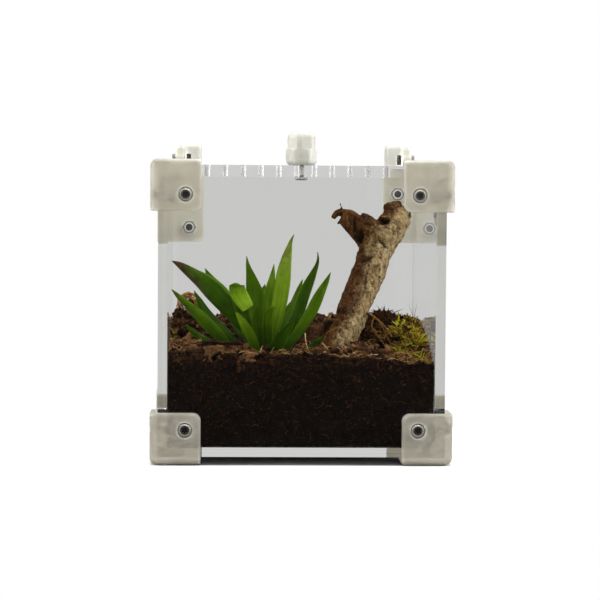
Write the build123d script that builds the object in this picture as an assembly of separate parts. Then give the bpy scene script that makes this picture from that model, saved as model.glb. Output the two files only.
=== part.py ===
"""Small insect terrarium: a clear acrylic box held by printed corner brackets, with a vented
lid on two printed hinges, planted with a branch, a rosette, moss and bark on packed soil.

Millimetres. Origin at the middle of the box on the plane that it stands on. +Z is up, the
front faces -Y and +X is to the right as seen from the front.
"""
from build123d import *
import math
import os

# Acrylic box
box_width = 150.0
box_depth = 150.0
wall_top = 150.0
panel_thickness = 5.0
sheet_gap = 0.05
lid_thickness = 6.0
lid_side_gap = 0.3

# Printed corner brackets
plate_thickness = 4.0
bracket_width = 26.5
bracket_height = 27.0
rise_over_lid = 3.0
outer_round = 3.8
free_corner_round = 4.0
edge_round = 1.2

# Panel screws and nuts
screw_inset = 18.3
screw_radius = 2.0
screw_length = 10.0
head_radius = 3.5
head_height = 2.2
head_round = 1.0
head_recess = 0.6
head_clearance = 0.5
hole_clearance = 0.15
nut_across_flats = 7.0
nut_thickness = 3.2
thread_clearance = 0.05
socket_radius = 1.35
socket_lobe_radius = 0.42
socket_depth = 1.3
hinge_screw_pitch = 20.0

# Hinges
knuckle_radius = 4.5
hinge_leaf_width = 9.7
hinge_leaf_length = 18.0
hinge_leaf_height = 13.3
hinge_leaf_round = 2.6
hinge_inset = 25.4
ear_width = 5.3
ear_gap = 0.3
ear_tip_radius = 3.0
ear_tip_rise = 4.4
ear_tip_lean = 0.9
notch_drop = 5.5
notch_end_gap = 2.1
pin_radius = 1.5
pin_length = 12.0
pin_running_gap = 0.05
pin_head_radius = 2.8
pin_head_height = 1.9
pin_head_gap = 0.1
pin_nut_across_flats = 5.5
pin_nut_thickness = 2.4
pin_nut_gap = 0.1
pin_nut_skin = 1.0

# Lid vents and knob
vent_count = 11
vent_pitch = 10.0
vent_radius = 1.5
vent_inset = 9.0
knob_inset = 25.0
knob_lower_flats = 15.2
knob_upper_flats = 14.2
knob_lower_height = 8.7
knob_upper_height = 9.0
knob_tier_turn = 18.0
knob_edge_round = 3.0
knob_corner_round = 3.4
knob_screw_radius = 1.5
knob_screw_grip = 9.0
knob_head_radius = 3.4
knob_head_height = 1.7

# The bed's inner size that the contents' places were measured in
bed_width = 140.0
bed_depth = 140.0

# Soil: heights over the floor panel, runs from the front wall
soil_side_gap = 0.2
soil_front_height = 48.0
soil_step_run = 20.0
soil_step_height = 51.0
soil_slope_run = 60.0
soil_slope_height = 57.0
soil_back_height = 61.0
soil_grid_steps = 10
soil_grid_margin = 2.0
nut_pocket_gap = 0.6

# Humps and hollows of the soil: distances from the left and front walls, half width, half depth, rise
soil_humps = [
    (14, 66, 20, 26, 3.0), (124, 72, 20, 24, 4.0), (80, 58, 10, 11, 4.0), (14, 12, 26, 12, 3.0),
    (136, 6, 34, 16, -5.0), (60, 114, 24, 20, 3.0), (110, 126, 20, 16, -2.0), (50, 22, 16, 10, -2.0),
]

# Branch: each point by its distances from the right wall, the front wall and the floor panel
branch_limbs = [
    [((51.5, 28, 41), 8.2), ((41, 44, 67), 8.3), ((35, 54, 81), 8.9), ((30, 62, 93), 9.1),
     ((25.5, 70, 103.5), 9.7), ((18.5, 77, 113), 9.3), ((11, 83, 121.5), 6.6)],
    [((27, 70, 102), 7.5), ((35.5, 72, 112), 6.2), ((41.5, 74, 118), 4.8), ((46, 75, 121), 2.8)],
    [((27, 70, 102), 7.6), ((31, 72, 113.5), 6.4), ((36.5, 73, 117), 5.4)],
]
soft_gap = 0.3

# Rosette plant: its crown and each leaf's tip, by distances from the left wall, the front wall
# and the floor panel, with the leaf's width
plant_crown = (51, 20, 46)
crown_radius = 7.0
leaf_thickness = 2.4
plant_leaves = [
    ((2.5, 36, 95.5), 14), ((19, 52, 92), 10), ((2.5, 24, 81), 9), ((13.5, 44, 79.5), 9),
    ((9.5, 18, 63), 7), ((36, 28, 82.5), 11), ((42, 46, 98), 11), ((56.5, 56, 93.5), 9),
    ((67, 40, 110.5), 14), ((72, 52, 86), 9), ((79.5, 30, 101), 12), ((85.5, 18, 91), 10),
    ((81, 12, 57), 5),
]
leaf_sections = [(0.0, 0.55, 1.4), (0.35, 1.0, 1.0), (0.7, 0.62, 0.7), (1.0, 0.08, 0.25)]

# Moss, curled root and bark chips, placed in the same way
right_moss_lumps = [((16, 70, 57), (14, 16, 10)), ((13, 26, 51), (9, 10, 8)), ((26, 52, 56), (9, 10, 8))]
left_moss_lumps = [((11, 72, 56), (10, 13, 8)), ((9, 50, 54), (8, 9, 8))]
ring_place = (10, 70, 70.5)
ring_radius = 6.2
ring_thickness = 2.6
chip_places = [
    (23.5, 8, 18, (11, 7, 4)), (43, 7, -12, (8, 5, 3)), (78, 35, 25, (10, 9, 7)), (92, 10, -30, (9, 6, 3)),
    (30, 78, 40, (13, 8, 4)), (52, 92, -35, (12, 9, 5)), (74, 104, 60, (14, 8, 4)), (34, 118, 15, (12, 7, 4)),
    (106, 118, -20, (13, 8, 4)), (92, 88, 75, (10, 7, 4)),
]
chip_bevel = 0.25
chip_lift = 0.25
chip_tilt = 5.0

# Shared by the modelling steps
hex_sides = 6
hex_flat_turn = 30.0
past = 3.0
edge_tolerance = 1e-3

# Sizes that follow from the ones above
half_width = box_width / 2
half_depth = box_depth / 2
floor_top = plate_thickness + panel_thickness
lid_top = wall_top + lid_thickness
bracket_top = lid_top + rise_over_lid
inner_half_width = half_width - panel_thickness
inner_half_depth = half_depth - panel_thickness
outer_half_width = half_width + plate_thickness
outer_half_depth = half_depth + plate_thickness
screw_x = outer_half_width - screw_inset
screw_y = outer_half_depth - screw_inset
low_screw_z = screw_inset
high_screw_z = bracket_top - screw_inset
second_screw_z = high_screw_z - hinge_screw_pitch
counterbore_radius = head_radius + head_clearance
counterbore_depth = head_height + head_recess
under_head = plate_thickness - counterbore_depth
hinge_bracket_height = bracket_height + hinge_screw_pitch
axis_y = outer_half_depth - knuckle_radius
axis_z = lid_top + knuckle_radius
notch_z = axis_z - notch_drop
leaf_inner_x = outer_half_width - hinge_inset
leaf_outer_x = leaf_inner_x + hinge_leaf_width
ear_inner_x = leaf_outer_x + ear_gap
ear_outer_x = ear_inner_x + ear_width
pin_head_x = ear_outer_x + pin_head_gap
pin_nut_x = leaf_outer_x - pin_nut_skin - pin_nut_gap - pin_nut_thickness / 2
knob_y = knob_inset - half_depth
vent_y = half_depth - vent_inset
soil_half_width = inner_half_width - soil_side_gap
soil_half_depth = inner_half_depth - soil_side_gap
across_scale = 2 * inner_half_width / bed_width
back_scale = 2 * inner_half_depth / bed_depth
ahead = (0, -1, 0)
at_base = (Align.CENTER, Align.CENTER, Align.MIN)
at_top = (Align.CENTER, Align.CENTER, Align.MAX)


def block(low, high):
    """A box between two opposite corners."""
    size = [b - a for a, b in zip(low, high)]
    middle = [(a + b) / 2 for a, b in zip(low, high)]
    return Pos(*middle) * Box(*size)


def sheet(low, high):
    """A flat sheet that stands back from its nominal faces, so that none touches another sheet."""
    return block([a + sheet_gap for a in low], [b - sheet_gap for b in high])


def rod(radius, start, end):
    """A cylinder between two points."""
    way = Vector(*end) - Vector(*start)
    return facing(start, way) * Cylinder(radius, way.length, align=at_base)


def facing(point, outward):
    """A plane at a point with its Z axis pointing outward."""
    return Plane(origin=point, z_dir=outward)


def edges_at(solid, axis, **place):
    """The straight edges along an axis whose middle lies at the given coordinates."""
    found = []
    for edge in solid.edges().filter_by(axis):
        middle = edge.center()
        if all(abs(getattr(middle, name) - value) < edge_tolerance for name, value in place.items()):
            found.append(edge)
    return found


# Screws and nuts

def panel_screw():
    """Round-headed screw with a six-lobed socket: its head stands on z = 0."""
    head = Cylinder(head_radius, head_height, align=at_base)
    head = fillet(head.edges().group_by(Axis.Z)[-1], head_round)
    socket = Cylinder(socket_radius, socket_depth)
    for lobe in PolarLocations(socket_radius, hex_sides):
        socket += lobe * Cylinder(socket_lobe_radius, socket_depth)
    head -= Pos(0, 0, head_height - socket_depth / 2) * socket
    shank = Cylinder(screw_radius, screw_length, align=at_top)
    return head + shank


def hex_nut(across_flats, thickness, bore_radius):
    """Hexagon nut below z = 0, with a pair of flats facing +X and -X."""
    outline = RegularPolygon(across_flats / 2, hex_sides, major_radius=False, rotation=hex_flat_turn)
    nut = extrude(outline, -thickness)
    return nut - Cylinder(bore_radius, past * thickness)


def screw_spots():
    """Each panel screw's place on its counterbore floor, by side of the box."""
    face_y = half_depth + under_head
    face_x = half_width + under_head
    spots = {"front": [], "back": [], "left": [], "right": []}
    for side in (-1, 1):
        for z in (low_screw_z, high_screw_z):
            spots["front"].append((side * screw_x, -face_y, z))
            for end in (-1, 1):
                spots["right" if side > 0 else "left"].append((side * face_x, end * screw_y, z))
        for z in (low_screw_z, high_screw_z, second_screw_z):
            spots["back"].append((side * screw_x, face_y, z))
    return spots


outward_of = {"front": ahead, "back": (0, 1, 0), "left": (-1, 0, 0), "right": (1, 0, 0)}


def screw_planes():
    """The plane of every panel screw's counterbore floor."""
    return [facing(spot, outward_of[side]) for side, spots in screw_spots().items() for spot in spots]


def screw_holes(radius):
    """Rods along every panel screw, for the holes in the panels and brackets."""
    return [plane * Cylinder(radius, 2 * screw_length) for plane in screw_planes()]


def counterbores():
    """The pockets that hold the panel screws' heads."""
    pocket = Cylinder(counterbore_radius, plate_thickness, align=at_base)
    return [plane * pocket for plane in screw_planes()]


def fasteners(side):
    """The screws and the nuts of one side of the box."""
    nut = Pos(0, 0, -under_head - panel_thickness) * hex_nut(
        nut_across_flats, nut_thickness, screw_radius + thread_clearance)
    planes = [facing(spot, outward_of[side]) for spot in screw_spots()[side]]
    return [plane * panel_screw() for plane in planes], [plane * nut for plane in planes]


def near(solid, cuts):
    """Subtract the cuts whose boxes meet the solid's box."""
    home = solid.bounding_box()
    for cut in cuts:
        box = cut.bounding_box()
        apart = (box.min.X > home.max.X or box.max.X < home.min.X or box.min.Y > home.max.Y
                 or box.max.Y < home.min.Y or box.min.Z > home.max.Z or box.max.Z < home.min.Z)
        if not apart:
            solid -= cut
    return solid


# Acrylic panels

def panels():
    """The floor and the four walls, with their screw holes."""
    hw, hd = half_width, half_depth
    iw, id_ = inner_half_width, inner_half_depth
    plain = {
        "floor_panel": sheet((-hw, -hd, plate_thickness), (hw, hd, floor_top)),
        "front_panel": sheet((-hw, -hd, floor_top), (hw, -id_, wall_top)),
        "back_panel": sheet((-hw, id_, floor_top), (hw, hd, wall_top)),
        "left_panel": sheet((-hw, -id_, floor_top), (-iw, id_, wall_top)),
        "right_panel": sheet((iw, -id_, floor_top), (hw, id_, wall_top)),
    }
    cuts = screw_holes(screw_radius + hole_clearance)
    return {name: near(solid, cuts) for name, solid in plain.items()}


def lid_panel():
    """The lid, with its row of vents and the hole of the knob's screw."""
    hw = half_width - lid_side_gap
    hd = half_depth - lid_side_gap
    lid = block((-hw, -hd, wall_top), (hw, hd, lid_top))
    for number in range(vent_count):
        x = (number - (vent_count - 1) / 2) * vent_pitch
        lid -= Pos(x, vent_y, wall_top) * Cylinder(vent_radius, past * lid_thickness)
    return lid - Pos(0, knob_y, wall_top) * Cylinder(knob_screw_radius + hole_clearance, past * lid_thickness)


# Corner brackets, drawn at the front right and mirrored to the other corners

def rounded_corner(bottom, top, round_end):
    """The block that a bracket is cut from, with its outer edges rounded."""
    low = (outer_half_width - bracket_width, -outer_half_depth, bottom)
    high = (outer_half_width, -outer_half_depth + bracket_width, top)
    solid = block(low, high)
    end_z = bottom if round_end == "bottom" else top
    free_z = top if round_end == "bottom" else bottom
    corner = edges_at(solid, Axis.Z, X=high[0], Y=low[1])
    corner += edges_at(solid, Axis.X, Y=low[1], Z=end_z)
    corner += edges_at(solid, Axis.Y, X=high[0], Z=end_z)
    solid = fillet(corner, outer_round)
    free = edges_at(solid, Axis.Y, X=low[0], Z=free_z) + edges_at(solid, Axis.X, Y=high[1], Z=free_z)
    if round_end == "bottom":
        free += edges_at(solid, Axis.Z, X=low[0], Y=high[1])
    solid = fillet(free, free_corner_round)
    return soften_rims(solid, low, high)


def soften_rims(solid, low, high):
    """Round the rims of the block's two outer faces."""
    rims = []
    front = solid.faces().sort_by(Axis.Y)[0]
    right = solid.faces().sort_by(Axis.X)[-1]
    for face, across, far in ((front, "X", low[0]), (right, "Y", high[1])):
        for edge in face.edges():
            middle = edge.center()
            if abs(getattr(middle, across) - far) < free_corner_round:
                rims.append(edge)
    return fillet(rims, edge_round)


def bracket_front_right(bottom, top, round_end):
    """A corner bracket, with the room for the box's corner cut out."""
    solid = rounded_corner(bottom, top, round_end)
    room_bottom = plate_thickness if round_end == "bottom" else bottom - plate_thickness
    room = block((0, -half_depth, room_bottom), (half_width, 0, top + plate_thickness))
    return solid - room


def hinge_ear_profile():
    """The ear in the YZ plane: a teardrop round the pin on a stem from the back plate."""
    tip_y = axis_y + ear_tip_lean
    tip_z = axis_z + ear_tip_rise
    round_radius = knuckle_radius - ear_gap
    with BuildSketch(Plane.YZ) as profile:
        with Locations((axis_y, axis_z)):
            Circle(round_radius)
        with Locations((tip_y, tip_z)):
            Circle(ear_tip_radius)
        make_hull()
        with BuildLine():
            Polyline((half_depth, axis_z), (axis_y + round_radius, axis_z),
                     (axis_y + round_radius, notch_z - plate_thickness),
                     (half_depth, notch_z - plate_thickness), close=True)
        make_face()
    return profile.sketch


def hinge_bracket_right():
    """The tall bracket at the back right corner, with the hinge's ear."""
    solid = bracket_front_right(bracket_top - hinge_bracket_height, bracket_top, "top")
    solid = mirror(solid, about=Plane.XZ)
    notch_low = (half_width - bracket_width, half_depth - plate_thickness, notch_z)
    notch_high = (half_width - notch_end_gap, outer_half_depth + plate_thickness,
                  bracket_top + plate_thickness)
    solid -= block(notch_low, notch_high)
    solid += extrude(Pos(ear_inner_x, 0, 0) * hinge_ear_profile(), ear_width)
    bore = rod(pin_radius + pin_running_gap, (ear_inner_x - ear_width, axis_y, axis_z),
               (ear_outer_x + ear_width, axis_y, axis_z))
    return solid - bore


def brackets():
    """All eight corner brackets with their screw holes and counterbores."""
    low = bracket_front_right(0, bracket_height, "bottom")
    high = bracket_front_right(bracket_top - bracket_height, bracket_top, "top")
    hinged = hinge_bracket_right()
    low_back = mirror(low, about=Plane.XZ)
    plain = {
        "front_bottom_right_bracket": low,
        "front_bottom_left_bracket": mirror(low, about=Plane.YZ),
        "back_bottom_right_bracket": low_back,
        "back_bottom_left_bracket": mirror(low_back, about=Plane.YZ),
        "front_top_right_bracket": high,
        "front_top_left_bracket": mirror(high, about=Plane.YZ),
        "right_hinge_bracket": hinged,
        "left_hinge_bracket": mirror(hinged, about=Plane.YZ),
    }
    cuts = screw_holes(screw_radius + hole_clearance) + counterbores()
    return {name: near(solid, cuts) for name, solid in plain.items()}


# Lid fittings

def hinge_leaf_profile():
    """The leaf in the YZ plane: flat on the lid, rounded about the pin at its lower back."""
    front = outer_half_depth - hinge_leaf_length
    top = lid_top + hinge_leaf_height
    turn = (axis_y + knuckle_radius / math.sqrt(2), axis_z - knuckle_radius / math.sqrt(2))
    with BuildSketch(Plane.YZ) as profile:
        with BuildLine():
            Polyline((axis_y, lid_top), (front, lid_top), (front, top), (outer_half_depth, top),
                     (outer_half_depth, axis_z))
            ThreePointArc((outer_half_depth, axis_z), turn, (axis_y, lid_top))
        make_face()
    return profile.sketch


def hinge_leaf_right():
    """The right hinge's leaf, with the pocket for its nut and the bore for its screw."""
    front = outer_half_depth - hinge_leaf_length
    top = lid_top + hinge_leaf_height
    leaf = extrude(Pos(leaf_inner_x, 0, 0) * hinge_leaf_profile(), hinge_leaf_width)
    upper = [edge for edge in leaf.edges() if edge.center().Z > top - edge_tolerance]
    posts = edges_at(leaf, Axis.Z, Y=front)
    leaf = fillet(upper + posts, hinge_leaf_round)
    half_slot = pin_nut_thickness / 2 + pin_nut_gap
    slot_half_height = pin_nut_across_flats / 2 + pin_nut_gap
    slot_end = axis_y + pin_nut_across_flats / math.sqrt(3) + pin_nut_gap
    slot = block((pin_nut_x - half_slot, front - pin_length, axis_z - slot_half_height),
                 (pin_nut_x + half_slot, slot_end, axis_z + slot_half_height))
    bore = rod(pin_radius + pin_running_gap, (pin_head_x - pin_length - pin_nut_gap, axis_y, axis_z),
               (pin_head_x, axis_y, axis_z))
    return leaf - slot - bore


def hinge_pin_right():
    """The right hinge's screw, its head outside the ear."""
    head_end = pin_head_x + pin_head_height
    shank = rod(pin_radius, (pin_head_x - pin_length, axis_y, axis_z), (pin_head_x, axis_y, axis_z))
    head = rod(pin_head_radius, (pin_head_x, axis_y, axis_z), (head_end, axis_y, axis_z))
    head = fillet(head.edges().group_by(Axis.X)[-1], pin_head_height / 2)
    socket_width = socket_radius * pin_radius / screw_radius
    socket = rod(socket_width, (head_end - pin_head_height / 2, axis_y, axis_z), (head_end, axis_y, axis_z))
    return shank + head - socket


def hinge_nut_right():
    """The right hinge's nut, flats up and down in its pocket."""
    nut = hex_nut(pin_nut_across_flats, pin_nut_thickness, pin_radius + thread_clearance)
    seat = Plane(origin=(pin_nut_x + pin_nut_thickness / 2, axis_y, axis_z), x_dir=(0, 0, 1), z_dir=(1, 0, 0))
    return seat * nut


def knob_tier(flats, height, turn, rounded_end):
    """One six-sided tier of the knob on z = 0, rounded at its outer end."""
    tier = extrude(RegularPolygon(flats / 2, hex_sides, major_radius=False, rotation=turn), height)
    tier = fillet(tier.edges().filter_by(Axis.Z), knob_corner_round)
    ends = tier.edges().group_by(Axis.Z)
    return fillet(ends[0] if rounded_end == "bottom" else ends[-1], knob_edge_round)


def lid_knob():
    """The knob, with the blind hole for its screw."""
    lower = knob_tier(knob_lower_flats, knob_lower_height, 0, "bottom")
    upper = knob_tier(knob_upper_flats, knob_upper_height, knob_tier_turn, "top")
    knob = Pos(0, knob_y, lid_top) * (lower + Pos(0, 0, knob_lower_height) * upper)
    return knob - rod(knob_screw_radius + thread_clearance, (0, knob_y, lid_top),
                      (0, knob_y, lid_top + knob_screw_grip + thread_clearance))


def knob_screw():
    """The knob's screw, its flanged head under the lid."""
    shank = rod(knob_screw_radius, (0, knob_y, wall_top), (0, knob_y, lid_top + knob_screw_grip))
    head = rod(knob_head_radius, (0, knob_y, wall_top - knob_head_height), (0, knob_y, wall_top))
    head = fillet(head.edges().group_by(Axis.Z)[0], knob_head_height / 2)
    socket = rod(socket_radius * knob_screw_radius / screw_radius,
                 (0, knob_y, wall_top - 2 * knob_head_height), (0, knob_y, wall_top - knob_head_height / 2))
    return shank + head - socket


# Contents: places are measured from a side wall, the front wall and the floor panel

def from_left(across, back, up):
    """A point by its distances from the left wall, the front wall and the floor panel."""
    x = across * across_scale - inner_half_width
    y = back * back_scale - inner_half_depth
    return Vector(x, y, floor_top + up)


def from_right(across, back, up):
    """A point by its distances from the right wall, the front wall and the floor panel."""
    point = from_left(across, back, up)
    return Vector(-point.X, point.Y, point.Z)


def soil_slope(y):
    """The height of the soil's plain slope at a depth y, from the front to the back."""
    front = -inner_half_depth
    line = [(front, soil_front_height), (front + soil_step_run, soil_step_height),
            (front + soil_slope_run, soil_slope_height), (inner_half_depth, soil_back_height)]
    y = max(y, front)
    for (y0, z0), (y1, z1) in zip(line, line[1:]):
        if y <= y1:
            return floor_top + z0 + (z1 - z0) * (y - y0) / (y1 - y0)
    return floor_top + soil_back_height


def soil_surface(x, y):
    """The height of the soil's surface: its slope with the humps and hollows."""
    height = soil_slope(y)
    for across, back, half_across, half_back, rise in soil_humps:
        middle = from_left(across, back, 0)
        away = ((x - middle.X) / half_across) ** 2 + ((y - middle.Y) / half_back) ** 2
        height += rise * math.exp(-away)
    return height


def soil_block():
    """The packed soil before anything is set in it: low at the front, uneven on top."""
    reach_x = inner_half_width + soil_grid_margin
    reach_y = inner_half_depth + soil_grid_margin
    shares = [2 * step / soil_grid_steps - 1 for step in range(soil_grid_steps + 1)]
    grid = [[Vector(a * reach_x, b * reach_y, soil_surface(a * reach_x, b * reach_y)) for b in shares]
            for a in shares]
    cover = Face.make_surface_from_array_of_points(grid, tol=sheet_gap)
    return extrude(cover, amount=wall_top, dir=(0, 0, -1)) & bed_room()


def bed_room():
    """The room over the floor that the contents keep to."""
    low = (-soil_half_width, -soil_half_depth, floor_top)
    return block(low, (soil_half_width, soil_half_depth, wall_top))


def nut_pockets():
    """Room in the soil for the lowest nuts and the screws' ends."""
    reach = nut_across_flats / math.sqrt(3) + nut_pocket_gap
    depth = screw_length - under_head - panel_thickness + nut_pocket_gap
    pocket = Pos(0, 0, -under_head - panel_thickness - depth / 2) * Box(2 * reach, 2 * reach, depth)
    pockets = []
    for side, spots in screw_spots().items():
        for spot in spots:
            if spot[2] == low_screw_z:
                pockets.append(facing(spot, outward_of[side]) * pocket)
    return pockets


def limb(line):
    """A limb of cones and balls along a line of points with their radii."""
    wood = None
    for (start, start_radius), (end, end_radius) in zip(line, line[1:]):
        way = end - start
        cone = facing(start, way) * Cone(start_radius, end_radius, way.length, align=at_base)
        part = cone + Pos(*end) * Sphere(end_radius)
        wood = part if wood is None else wood + part
    return wood


def branch(grow=0.0):
    """The leaning branch with its broken stub, thicker all round by the amount given."""
    lines = [[(from_right(*place), radius + grow) for place, radius in line] for line in branch_limbs]
    wood = limb(lines[0])
    for line in lines[1:]:
        wood += limb(line)
    return wood


def plant_leaf(start, tip, width):
    """One pointed blade from the crown to its tip, widest a third of the way up."""
    way = tip - start
    across = way.cross(Vector(*ahead)).normalized()
    sections = []
    for along, wide, thick in leaf_sections:
        plane = Plane(origin=start + way * along, x_dir=across, z_dir=way)
        sections.append(plane * Ellipse(width * wide / 2, leaf_thickness * thick / 2))
    return loft(sections)


def rosette():
    """The rosette plant: a short crown and its blades, which keep their reach in a box of any size."""
    crown = from_left(*plant_crown)
    plant = Pos(*crown) * Sphere(crown_radius)
    for place, width in plant_leaves:
        plant += plant_leaf(crown, crown + Vector(*place) - Vector(*plant_crown), width)
    return plant


def mound(lumps, place_from):
    """A clump of flattened balls."""
    clump = None
    for place, radii in lumps:
        lump = Pos(*place_from(*place)) * scale(Sphere(1), by=radii)
        clump = lump if clump is None else clump + lump
    return clump


def root_ring():
    """The curled root that stands at the left."""
    return facing(from_left(*ring_place), ahead) * Torus(ring_radius, ring_thickness / 2)


def chips():
    """Bark chips that lie half sunk on the soil."""
    pieces = []
    for across, back, turn, size in chip_places:
        chip = Box(*size)
        chip = chamfer(chip.edges().group_by(Axis.Z)[-1], size[2] * chip_bevel)
        middle = from_left(across, back, 0)
        height = soil_surface(middle.X, middle.Y) + size[2] * chip_lift
        pieces.append(Pos(middle.X, middle.Y, height) * Rot(chip_tilt, chip_tilt, turn) * chip)
    return pieces


def less(solid, *others):
    """The solid with the others cut out of it."""
    for other in others:
        solid -= other
    return solid


def contents():
    """The soil and all that is planted in it or lies on it."""
    ground = soil_block()
    wood = branch()
    inside = bed_room()
    plant = less(rosette() & inside, branch(soft_gap))
    ring = root_ring()
    moss_right = less(mound(right_moss_lumps, from_right) & inside, ground, wood, plant)
    moss_left = less(mound(left_moss_lumps, from_left) & inside, ground, ring, plant)
    bark = [less(chip & inside, ground, wood, plant, moss_right, moss_left) for chip in chips()]
    return {
        "soil": less(ground, wood, plant, *nut_pockets()),
        "branch": wood,
        "rosette_plant": plant,
        "right_moss": moss_right,
        "left_moss": moss_left,
        "root_ring": ring,
        "bark_chips": bark,
    }


# Every piece by its name

def pieces():
    """Each node's solid, or list of solids, by the node's name."""
    made = {}
    made.update(panels())
    made["lid_panel"] = lid_panel()
    made.update(brackets())
    for side in outward_of:
        made[side + "_screws"], made[side + "_nuts"] = fasteners(side)
    leaf, pin, nut = hinge_leaf_right(), hinge_pin_right(), hinge_nut_right()
    made["right_hinge_leaf"] = leaf
    made["left_hinge_leaf"] = mirror(leaf, about=Plane.YZ)
    made["hinge_screws"] = [pin, mirror(pin, about=Plane.YZ)]
    made["hinge_nuts"] = [nut, mirror(nut, about=Plane.YZ)]
    made["lid_knob"] = lid_knob()
    made["knob_screw"] = knob_screw()
    made.update(contents())
    return made


def main():
    """Write one STEP file for each node."""
    os.makedirs("parts", exist_ok=True)
    for name, solid in pieces().items():
        shape = Compound(children=solid) if isinstance(solid, list) else solid
        export_step(shape, f"parts/{name}.step")
        print(name, round(shape.volume, 1))


main()
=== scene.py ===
"""Looks of a small insect terrarium: clear acrylic, printed corners, steel screws and a planted bed.

Shapes are worked out in millimetres and built in metres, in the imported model's own frame: +Z up,
the front faces -Y.
"""
import math
import random
import bpy
from mathutils import Matrix, Vector, noise


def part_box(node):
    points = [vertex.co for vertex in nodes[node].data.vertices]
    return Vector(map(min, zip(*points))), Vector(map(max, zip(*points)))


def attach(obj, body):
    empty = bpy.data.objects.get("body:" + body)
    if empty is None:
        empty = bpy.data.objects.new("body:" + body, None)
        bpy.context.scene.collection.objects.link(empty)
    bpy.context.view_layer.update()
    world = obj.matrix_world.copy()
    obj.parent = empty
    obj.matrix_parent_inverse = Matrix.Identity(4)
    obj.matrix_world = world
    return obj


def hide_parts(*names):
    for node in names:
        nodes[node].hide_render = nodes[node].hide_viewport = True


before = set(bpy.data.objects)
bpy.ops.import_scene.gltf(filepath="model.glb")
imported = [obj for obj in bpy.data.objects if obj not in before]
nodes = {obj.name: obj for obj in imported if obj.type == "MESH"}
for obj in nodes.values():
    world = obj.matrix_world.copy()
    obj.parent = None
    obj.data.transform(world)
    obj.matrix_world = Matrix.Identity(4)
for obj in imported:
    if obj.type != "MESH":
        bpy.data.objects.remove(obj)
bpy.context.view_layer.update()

MM = 0.001
SEED = 11
FULL_TURN = 2 * math.pi


def inner_box(node):
    """A node's lowest and highest corners in millimetres."""
    low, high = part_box(node)
    return low / MM, high / MM


def held(value, low, high):
    """A number kept within limits."""
    return min(max(value, low), high)


def link(name, data):
    """A new object in the scene."""
    thing = bpy.data.objects.new(name, data)
    bpy.context.scene.collection.objects.link(thing)
    return thing


# Camera, fitted to the photograph's box edges and screws

CAMERA_PLACE = Vector((-43.943, -1221.193, 147.558)) * MM
CAMERA_YAW = math.radians(2.138)
CAMERA_PITCH = math.radians(3.065)
CAMERA_ROLL = math.radians(0.411)
CAMERA_LENS = 132.584
CAMERA_SENSOR = 36.0
CAMERA_CLIP = (0.01, 20.0)


def make_camera():
    """The photograph's viewing angle."""
    ahead = Vector((math.sin(CAMERA_YAW) * math.cos(CAMERA_PITCH),
                    math.cos(CAMERA_YAW) * math.cos(CAMERA_PITCH), -math.sin(CAMERA_PITCH)))
    level = ahead.cross(Vector((0, 0, 1))).normalized()
    upright = level.cross(ahead)
    right = level * math.cos(CAMERA_ROLL) + upright * math.sin(CAMERA_ROLL)
    up = upright * math.cos(CAMERA_ROLL) - level * math.sin(CAMERA_ROLL)
    data = bpy.data.cameras.new("camera")
    data.lens = CAMERA_LENS
    data.sensor_width = CAMERA_SENSOR
    data.clip_start, data.clip_end = CAMERA_CLIP
    camera = link("camera", data)
    turn = Matrix((right, up, -ahead)).transposed()
    camera.matrix_world = Matrix.Translation(CAMERA_PLACE) @ turn.to_4x4()
    bpy.context.scene.camera = camera


# Shader helpers

NOISE_RANGE = (0.3, 0.7)


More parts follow.
